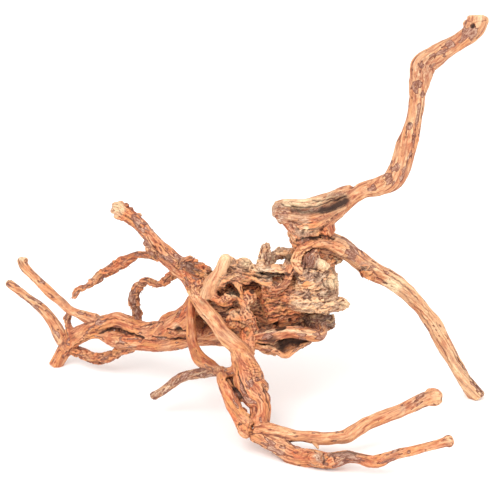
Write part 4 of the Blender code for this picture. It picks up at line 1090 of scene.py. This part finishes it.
crown = {
    "seed": 5, "voxel": 0.86, "tone": "limb", "roughness": 1.3, "pits": 0.6, "hollowShade": 0.34,
    "hollows": [(317, 203, -30, (31, 15, 11), -11)],
    "cut": {"tallLimb": "end", "rightBranch": "end"},
    "tones": {"burl": ["neck"], "trunk": ["bowlKeel", "neckRight", "bowlBelly"], "bowl": ["bowlBody",
        "bowlBack", "bowlFarRim", "bowlNearRim"], "branch": ["rightBranch"], "shadeAndDark": ["hiddenNub"],
        "bark": ["branchNodule"], "fork": ["knotRim"], "spotted": ["tallLimb"]},
    "knobs": [(484, 21, -58, 4.5), (467, 24, -60, 4), (355, 259, -4, 4), (369, 275, 2, 5),
        (384, 283, 10, 3), (414, 82, -60, 5)],
    "strands": {
        "neck": [(316, 264, -2, 18), (312, 250, -10, 13.5), (306, 238, -19, 14.5), (304.5, 229, -25, 14.5),
            (312, 219, -26, 13)],
        "bowlKeel": [(280, 213, -34, 5), (290, 222, -33, 7.4), (299, 232, -28, 9.4), (304, 244, -22, 8)],
        "bowlLip": [(276.5, 212.5, -32, 6.5), (283, 213.5, -34, 9.5), (292, 216, -34, 10.5)],
        "bowlBelly": [(294, 219, -33, 9), (310, 222, -33, 9.5), (322, 218, -30, 9), (332, 212, -27, 7.6)],
        "neckRight": [(318, 218, -24, 12), (323, 226, -20, 11.5), (325, 236, -14, 11)],
        "bowlBody": [(271.5, 210, -31, 4), (276, 210.5, -31, 7.5), (284, 212, -30, 10), (298, 215, -28, 13),
            (314, 216, -26, 14.5), (330, 211, -24, 12), (343, 203, -22, 9)],
        "bowlBack": [(284, 208, -20, 6), (300, 211, -13, 8), (316, 210, -11, 8), (330, 205, -12, 8),
            (344, 198, -17, 8)],
        "bowlFarRim": [(275, 207.5, -24, 5), (286, 203.5, -15, 4.6), (302, 203.5, -11, 4.4),
            (316, 200.5, -9, 5), (329, 197, -10, 5.2), (341, 192.6, -14, 6), (354, 190.5, -19, 7.5)],
        "bowlNearRim": [(272.5, 213, -35, 3.8), (288, 217, -41, 3.6), (303, 219, -43, 3.6),
            (318, 217, -41, 3.8), (332, 211, -36, 4.4), (345, 203, -28, 6)],
        "tallLimb": [(318, 222, -24, 12), (335, 211.5, -24, 8.6), (349.5, 199, -22, 7.8),
            (362, 191, -24, 8.2), (378, 186.6, -28, 9.5), (390.5, 181, -32, 11), (399.3, 169.5, -37, 10.9),
            (404.6, 154, -42, 9.7), (409, 138, -46, 9.2), (413, 123, -50, 8.7), (415.8, 108, -54, 8.3),
            (418.2, 93, -57, 9), (421, 78, -60, 10.9), (424, 64.5, -62, 12), (436.5, 55.3, -62, 9.9),
            (450.5, 46.4, -61, 8.6), (462.5, 39, -60, 9.2), (472, 31.6, -59, 10.2),
            (476.6, 24.5, -58, 10.6), (477.6, 17.4, -57, 9.8)],
        "rightBranch": [(314, 242, -12, 14), (331, 243.5, -8, 12), (346.5, 250.5, -4, 10.2),
            (359.8, 261.5, 2, 9), (372.5, 270.3, 8, 8.7), (387, 277.4, 14, 8.8), (401, 287.2, 20, 8.8),
            (413.8, 298.8, 27, 7.9), (425.6, 313.4, 33, 7.6), (436.2, 329.6, 38, 7.9), (447, 350, 42, 7.4),
            (457.6, 369, 45, 7.4), (467.4, 383, 47, 7.5), (474.3, 392, 48, 7.8), (478.8, 397.3, 49, 7.4)],
        "branchNodule": [(362, 269.5, 1, 6.8), (372, 275.5, 5, 5.6)],
        "branchThorn": [(353, 261, 2, 3.4), (348.6, 264.8, 2, 1.6)],
        "hiddenNub": [(326, 259, 4, 11), (334, 258.5, 4, 9), (340.5, 261.6, 4, 6.4)],
        "knotRim": [(304, 274, -26, 2.6), (299, 268.5, -28.5, 3.8), (296.2, 260.5, -30, 4.6),
            (299, 252, -31.5, 4.6), (306, 246, -32.5, 4.8), (318, 243, -31, 4.6), (331, 245.5, -25, 5.2),
            (344, 251, -17, 6.5)],
    },
    "marks": {
        "hole": [(472.6, 25.5, 4, -2.4)],
        "shadeAndDark": [(409.5, 124, 2.6, 0.7), (406, 136.7, 2.2, 0.6)],
        "pale": [(479, 17, 8, 0.5), (306, 229, 5, 0.8), (392, 285, 12, 0.7)],
        "grey": [(276, 214, 16, 1.0), (300, 227, 18, 0.6), (364, 267.5, 9, 0.9), (425, 70, 18, 0.3)],
        "rough": [(366, 270, 13, 0.6), (312, 236, 20, 1.0), (300, 258, 16, 0.7)],
        "red": [(475, 16, 9, 0.5), (318, 231, 16, 0.7), (364, 260, 20, 0.5)],
        "bark": [(474, 15, 10, -1.0), (421, 64, 6, 0.9), (414.6, 72, 7, 0.9), (442, 52, 7, 0.6),
            (433, 57, 6, 0.5), (451, 43, 7, 0.6), (468, 33, 9, 0.6), (416.5, 86, 8, 0.9), (423, 92, 7, 0.8),
            (409, 126, 5, 0.8), (394, 166, 9, 0.9), (388, 181, 9, 0.9), (372, 189, 9, 0.8),
            (357, 254, 14, 0.5), (377, 266, 13, 0.45), (343, 247, 22, 0.5)],
    },
    "lines": [
        # takes painted shade away along the far rim's inner side
        ("shadeAndDark", [(4.0, -0.8, (284, 202), (303, 203), (320, 202))]),
        ("pale", [(3.4, 2.0, (286, 202), (303, 203), (318, 202))]),
        ("bark", [(4.0, -1.5, (284, 202), (303, 203), (320, 202)),
            (2.0, 1.1, (419, 104), (416, 126), (412.5, 146), (407, 166), (401, 178)),
            (5.0, 0.5, (474, 30), (458, 40), (442, 51), (427, 60), (419, 76), (417, 96)),
            (2.0, 0.9, (452, 342), (462, 360), (476, 384), (483, 396))]),
        ("grey", [(3.0, 0.7, (280, 208), (300, 210), (318, 210)),
            (1.8, 0.8, (329, 195), (337, 193.8), (344, 196))]),
        ("slit", [
            (0.9, 1.2, (282, 204), (292, 206.6), (304, 207.4), (318, 206), (333, 201), (346, 195.5))]),
        # painted shade inside the bowl, deepest at its right end
        ("shadeAndDark", [(1.9, 0.55, (292, 209.5), (302, 212), (316, 213), (330, 210.5), (345, 203)),
            (3.6, 0.85, (322, 210.5), (331, 208.5), (340, 204.5), (346, 201))]),
        ("red", [(2.0, 0.8, (292, 209), (310, 210), (324, 207)),
            (3.0, 0.6, (300, 219), (318, 219), (334, 213))]),
        ("slit", [(0.55, 0.5, (352, 249), (364, 259), (380, 270), (398, 281), (414, 295), (428, 312)),
            (0.55, 0.5, (376, 277), (390, 284), (404, 295), (418, 309), (430, 326), (441, 347), (452, 367)),
            (0.5, 0.5, (436, 322), (447, 343), (458, 362), (470, 380)),
            (0.5, 0.5, (392, 276), (408, 288), (422, 303), (433, 320)),
            (0.5, 0.4, (465, 21), (474, 22.5), (487, 20.5))]),
        ("shadeAndDark", [(6.0, 0.09, (474, 30), (458, 40), (442, 51), (427, 60), (419, 76), (417, 96))]),
        ("slit", [(0.7, 1.0, (312.5, 200.5), (322, 200.8), (332, 199.4), (339, 200)),
            (0.5, 0.7, (280, 202.5), (286, 206), (294, 209.2))]),
        # painted shade inside the bowl's left end
        ("shadeAndDark", [(0.9, 0.4, (277, 206), (284, 209), (293, 211.4))]),
        ("slit", [(0.6, 1.2, (457, 357), (463, 367), (470, 377), (478, 387), (484.5, 395)),
            (1.1, 1.6, (296, 241), (308, 238.5), (322, 236.5), (334, 238))]),
    ],
}
crownPiece = growPiece("crown", crown, woodFinish)


splinters = {
    "seed": 11, "rings": 5, "sides": 4,
    "length": (2.5, 7.5), "width": (0.35, 0.95), "lift": (0.05, 0.45), "spread": (1.0, 0.6, 0.8),
    "sunk": 0.8, "taper": 0.7, "tip": 0.03, "flatness": 0.55,
    "apart": 9.0,  # from one splinter to the next, in the wood's own coordinates
    "rough": (0.5, 0.9), "facing": (-0.3, 0.4), "behind": 0.35,  # where they grow
    # ridge is a steady painted highlight on every splinter
    "fine": (0.35, 0.4), "red": (0.7, 0.5), "grey": (0.8, 0.7), "ridgeLight": 0.3,  # their tones
}


# splinters: each is a four-sided spike on the skin of a grown piece, sunk at its root, laid along a random
# direction in the surface and lifting away from it as the square of the way along; its half-width is
# w (1 - s) ^ 0.7, s running 0 to 1 along it
def growSplinters(name, hosts, material):
    chance = np.random.default_rng(splinters["seed"])
    roots, outwards = [], []
    for host, number in hosts:
        corners = meshRows(host.data.vertices, "co", 3).astype(float) / metres
        normals = meshRows(host.data.vertex_normals, "vector", 3).astype(float)
        rough = meshRows(host.data.attributes["rough"].data, "value", 1)[:, 0]
        facing = splinters["behind"] + ramp(-(normals @ sightLine), *splinters["facing"])
        weight = ramp(rough, *splinters["rough"]) * facing
        chosen = chance.choice(len(corners), number, replace=False, p=weight / weight.sum())
        roots.append(corners[chosen])
        outwards.append(normals[chosen])
    root, outward = np.vstack(roots), np.vstack(outwards)
    count, rings, sides = len(root), splinters["rings"], splinters["sides"]
    along = chance.normal(size=(count, 3)) * splinters["spread"]
    along -= outward * (along * outward).sum(axis=1)[:, None]
    along /= np.linalg.norm(along, axis=1)[:, None]
    side = np.cross(outward, along)
    length = chance.uniform(*splinters["length"], count)
    width = chance.uniform(*splinters["width"], count)
    lift = chance.uniform(*splinters["lift"], count)
    share = np.linspace(0, 1, rings)
    reach = (length[:, None] * share)[..., None]
    rise = (lift[:, None] * length[:, None] * share ** 2)[..., None]
    spine = root[:, None] - outward[:, None] * splinters["sunk"] + along[:, None] * reach
    spine = spine + outward[:, None] * rise
    half = (width[:, None] * np.maximum(1 - share, splinters["tip"]) ** splinters["taper"])[..., None]
    angle = np.linspace(0, 2 * math.pi, sides, endpoint=False) + math.pi / sides
    cosine, sine = np.cos(angle), np.sin(angle)
    across = side[:, None] * cosine[None, :, None]
    across = across + splinters["flatness"] * outward[:, None] * sine[None, :, None]
    corners = spine[:, :, None] + half[..., None] * across[:, None]
    first = np.arange(count)[:, None, None] * rings * sides
    quads = ringFaces(rings, sides)[0]
    ends = np.array([np.arange(sides)[::-1], np.arange(sides) + (rings - 1) * sides])
    quads = np.vstack([(first + faces).reshape(-1, 4) for faces in (quads, ends)])
    mesh = meshOf(name, corners.reshape(-1, 3) * metres, quads, np.zeros((0, 3), int))
    tone = np.repeat(chance.uniform(0, 1, count), rings * sides)
    (least, more), (red, redBelow), (grey, greyAbove) = (splinters[key] for key in ("fine", "red", "grey"))
    grain = np.stack([
        np.broadcast_to(reach, (count, rings, sides)) + splinters["apart"] * np.arange(count)[:, None, None],
        half * cosine, half * sine,
    ], -1)
    storeFields(mesh, {
        "fine": least + more * tone, "red": red * (tone < redBelow), "grey": grey * (tone > greyAbove),
        "chip": tone, "ridgeLight": splinters["ridgeLight"] + 0 * tone,
    }, grain)
    placePiece(name, mesh, material)


growSplinters("splinters", [(burlPiece, 420), (limbPiece, 90), (crownPiece, 60)], woodFinish)
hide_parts("spiderwood_root")

studio = {
    "floorHalf": 4.0, "floorCells": 8,  # metres, and squares along a side
    "floorTint": (0.97, 0.97, 0.97, 1.0), "floorRoughness": 0.9, "floorShine": 0.1,
    "skyTint": (1.0, 0.985, 0.97, 1.0), "skyStrength": 1.16,
    "lamps": {  # place, size and power
        "key": ((-0.9, -1.5, 2.0), 1.6, 34.0),
        "fill": ((1.4, -1.2, 1.2), 1.4, 10.0),
    },
    "lampsLookAt": (0.0, 0.0, 0.15),
    "sensor": 36.0,  # mm
}


# a square grid at height 0
def makeFloor():
    cells = studio["floorCells"]
    line = np.linspace(-studio["floorHalf"], studio["floorHalf"], cells + 1)
    x, y = np.meshgrid(line, line, indexing="ij")
    corners = np.column_stack([x.ravel(), y.ravel(), np.zeros(x.size)])
    row, column = np.meshgrid(np.arange(cells), np.arange(cells), indexing="ij")
    first = (row * (cells + 1) + column).ravel()
    quads = np.column_stack([first, first + cells + 1, first + cells + 2, first + 1])
    floor = objectOf("floor", meshOf("floor", corners, quads, np.zeros((0, 3), int)))
    paper = bpy.data.materials.new("paper")
    paper.use_nodes = True
    shader = paper.node_tree.nodes["Principled BSDF"]
    shader.inputs["Base Color"].default_value = studio["floorTint"]
    shader.inputs["Roughness"].default_value = studio["floorRoughness"]
    shader.inputs["Specular IOR Level"].default_value = studio["floorShine"]
    floor.data.materials.append(paper)


def makeLamp(name, place, size, power):
    lamp = bpy.data.lights.new(name, "AREA")
    lamp.shape = "DISK"
    lamp.size = size
    lamp.energy = power
    made = objectOf(name, lamp)
    made.location = place
    x, y, z = np.array(studio["lampsLookAt"]) - np.array(place)
    made.rotation_euler = (math.atan2(math.hypot(x, y), -z), 0, math.atan2(-x, y))


# straight in front of the sheet's middle, with a lens that just frames the sheet
def makeCamera():
    lens = bpy.data.cameras.new("camera")
    lens.sensor_width = studio["sensor"]
    lens.lens = lens.sensor_width * sheet["eye"] / sheet["side"]
    made = objectOf("camera", lens)
    middle = toSpace([(halfSheet, halfSheet, 0)])[0]
    made.location = (middle - sheet["eye"] * sightLine) * metres
    made.rotation_euler = (math.pi / 2 - sheet["lean"], 0, 0)
    bpy.context.scene.camera = made


makeFloor()
for lampName, look in studio["lamps"].items():
    makeLamp(lampName, *look)
makeCamera()
world = bpy.data.worlds.new("studio")
world.use_nodes = True
sky = world.node_tree.nodes["Background"]
sky.inputs["Strength"].default_value = studio["skyStrength"]
sky.inputs["Color"].default_value = studio["skyTint"]
bpy.context.scene.world = world
bpy.context.scene.view_settings.view_transform = "Standard"
print("studio set")
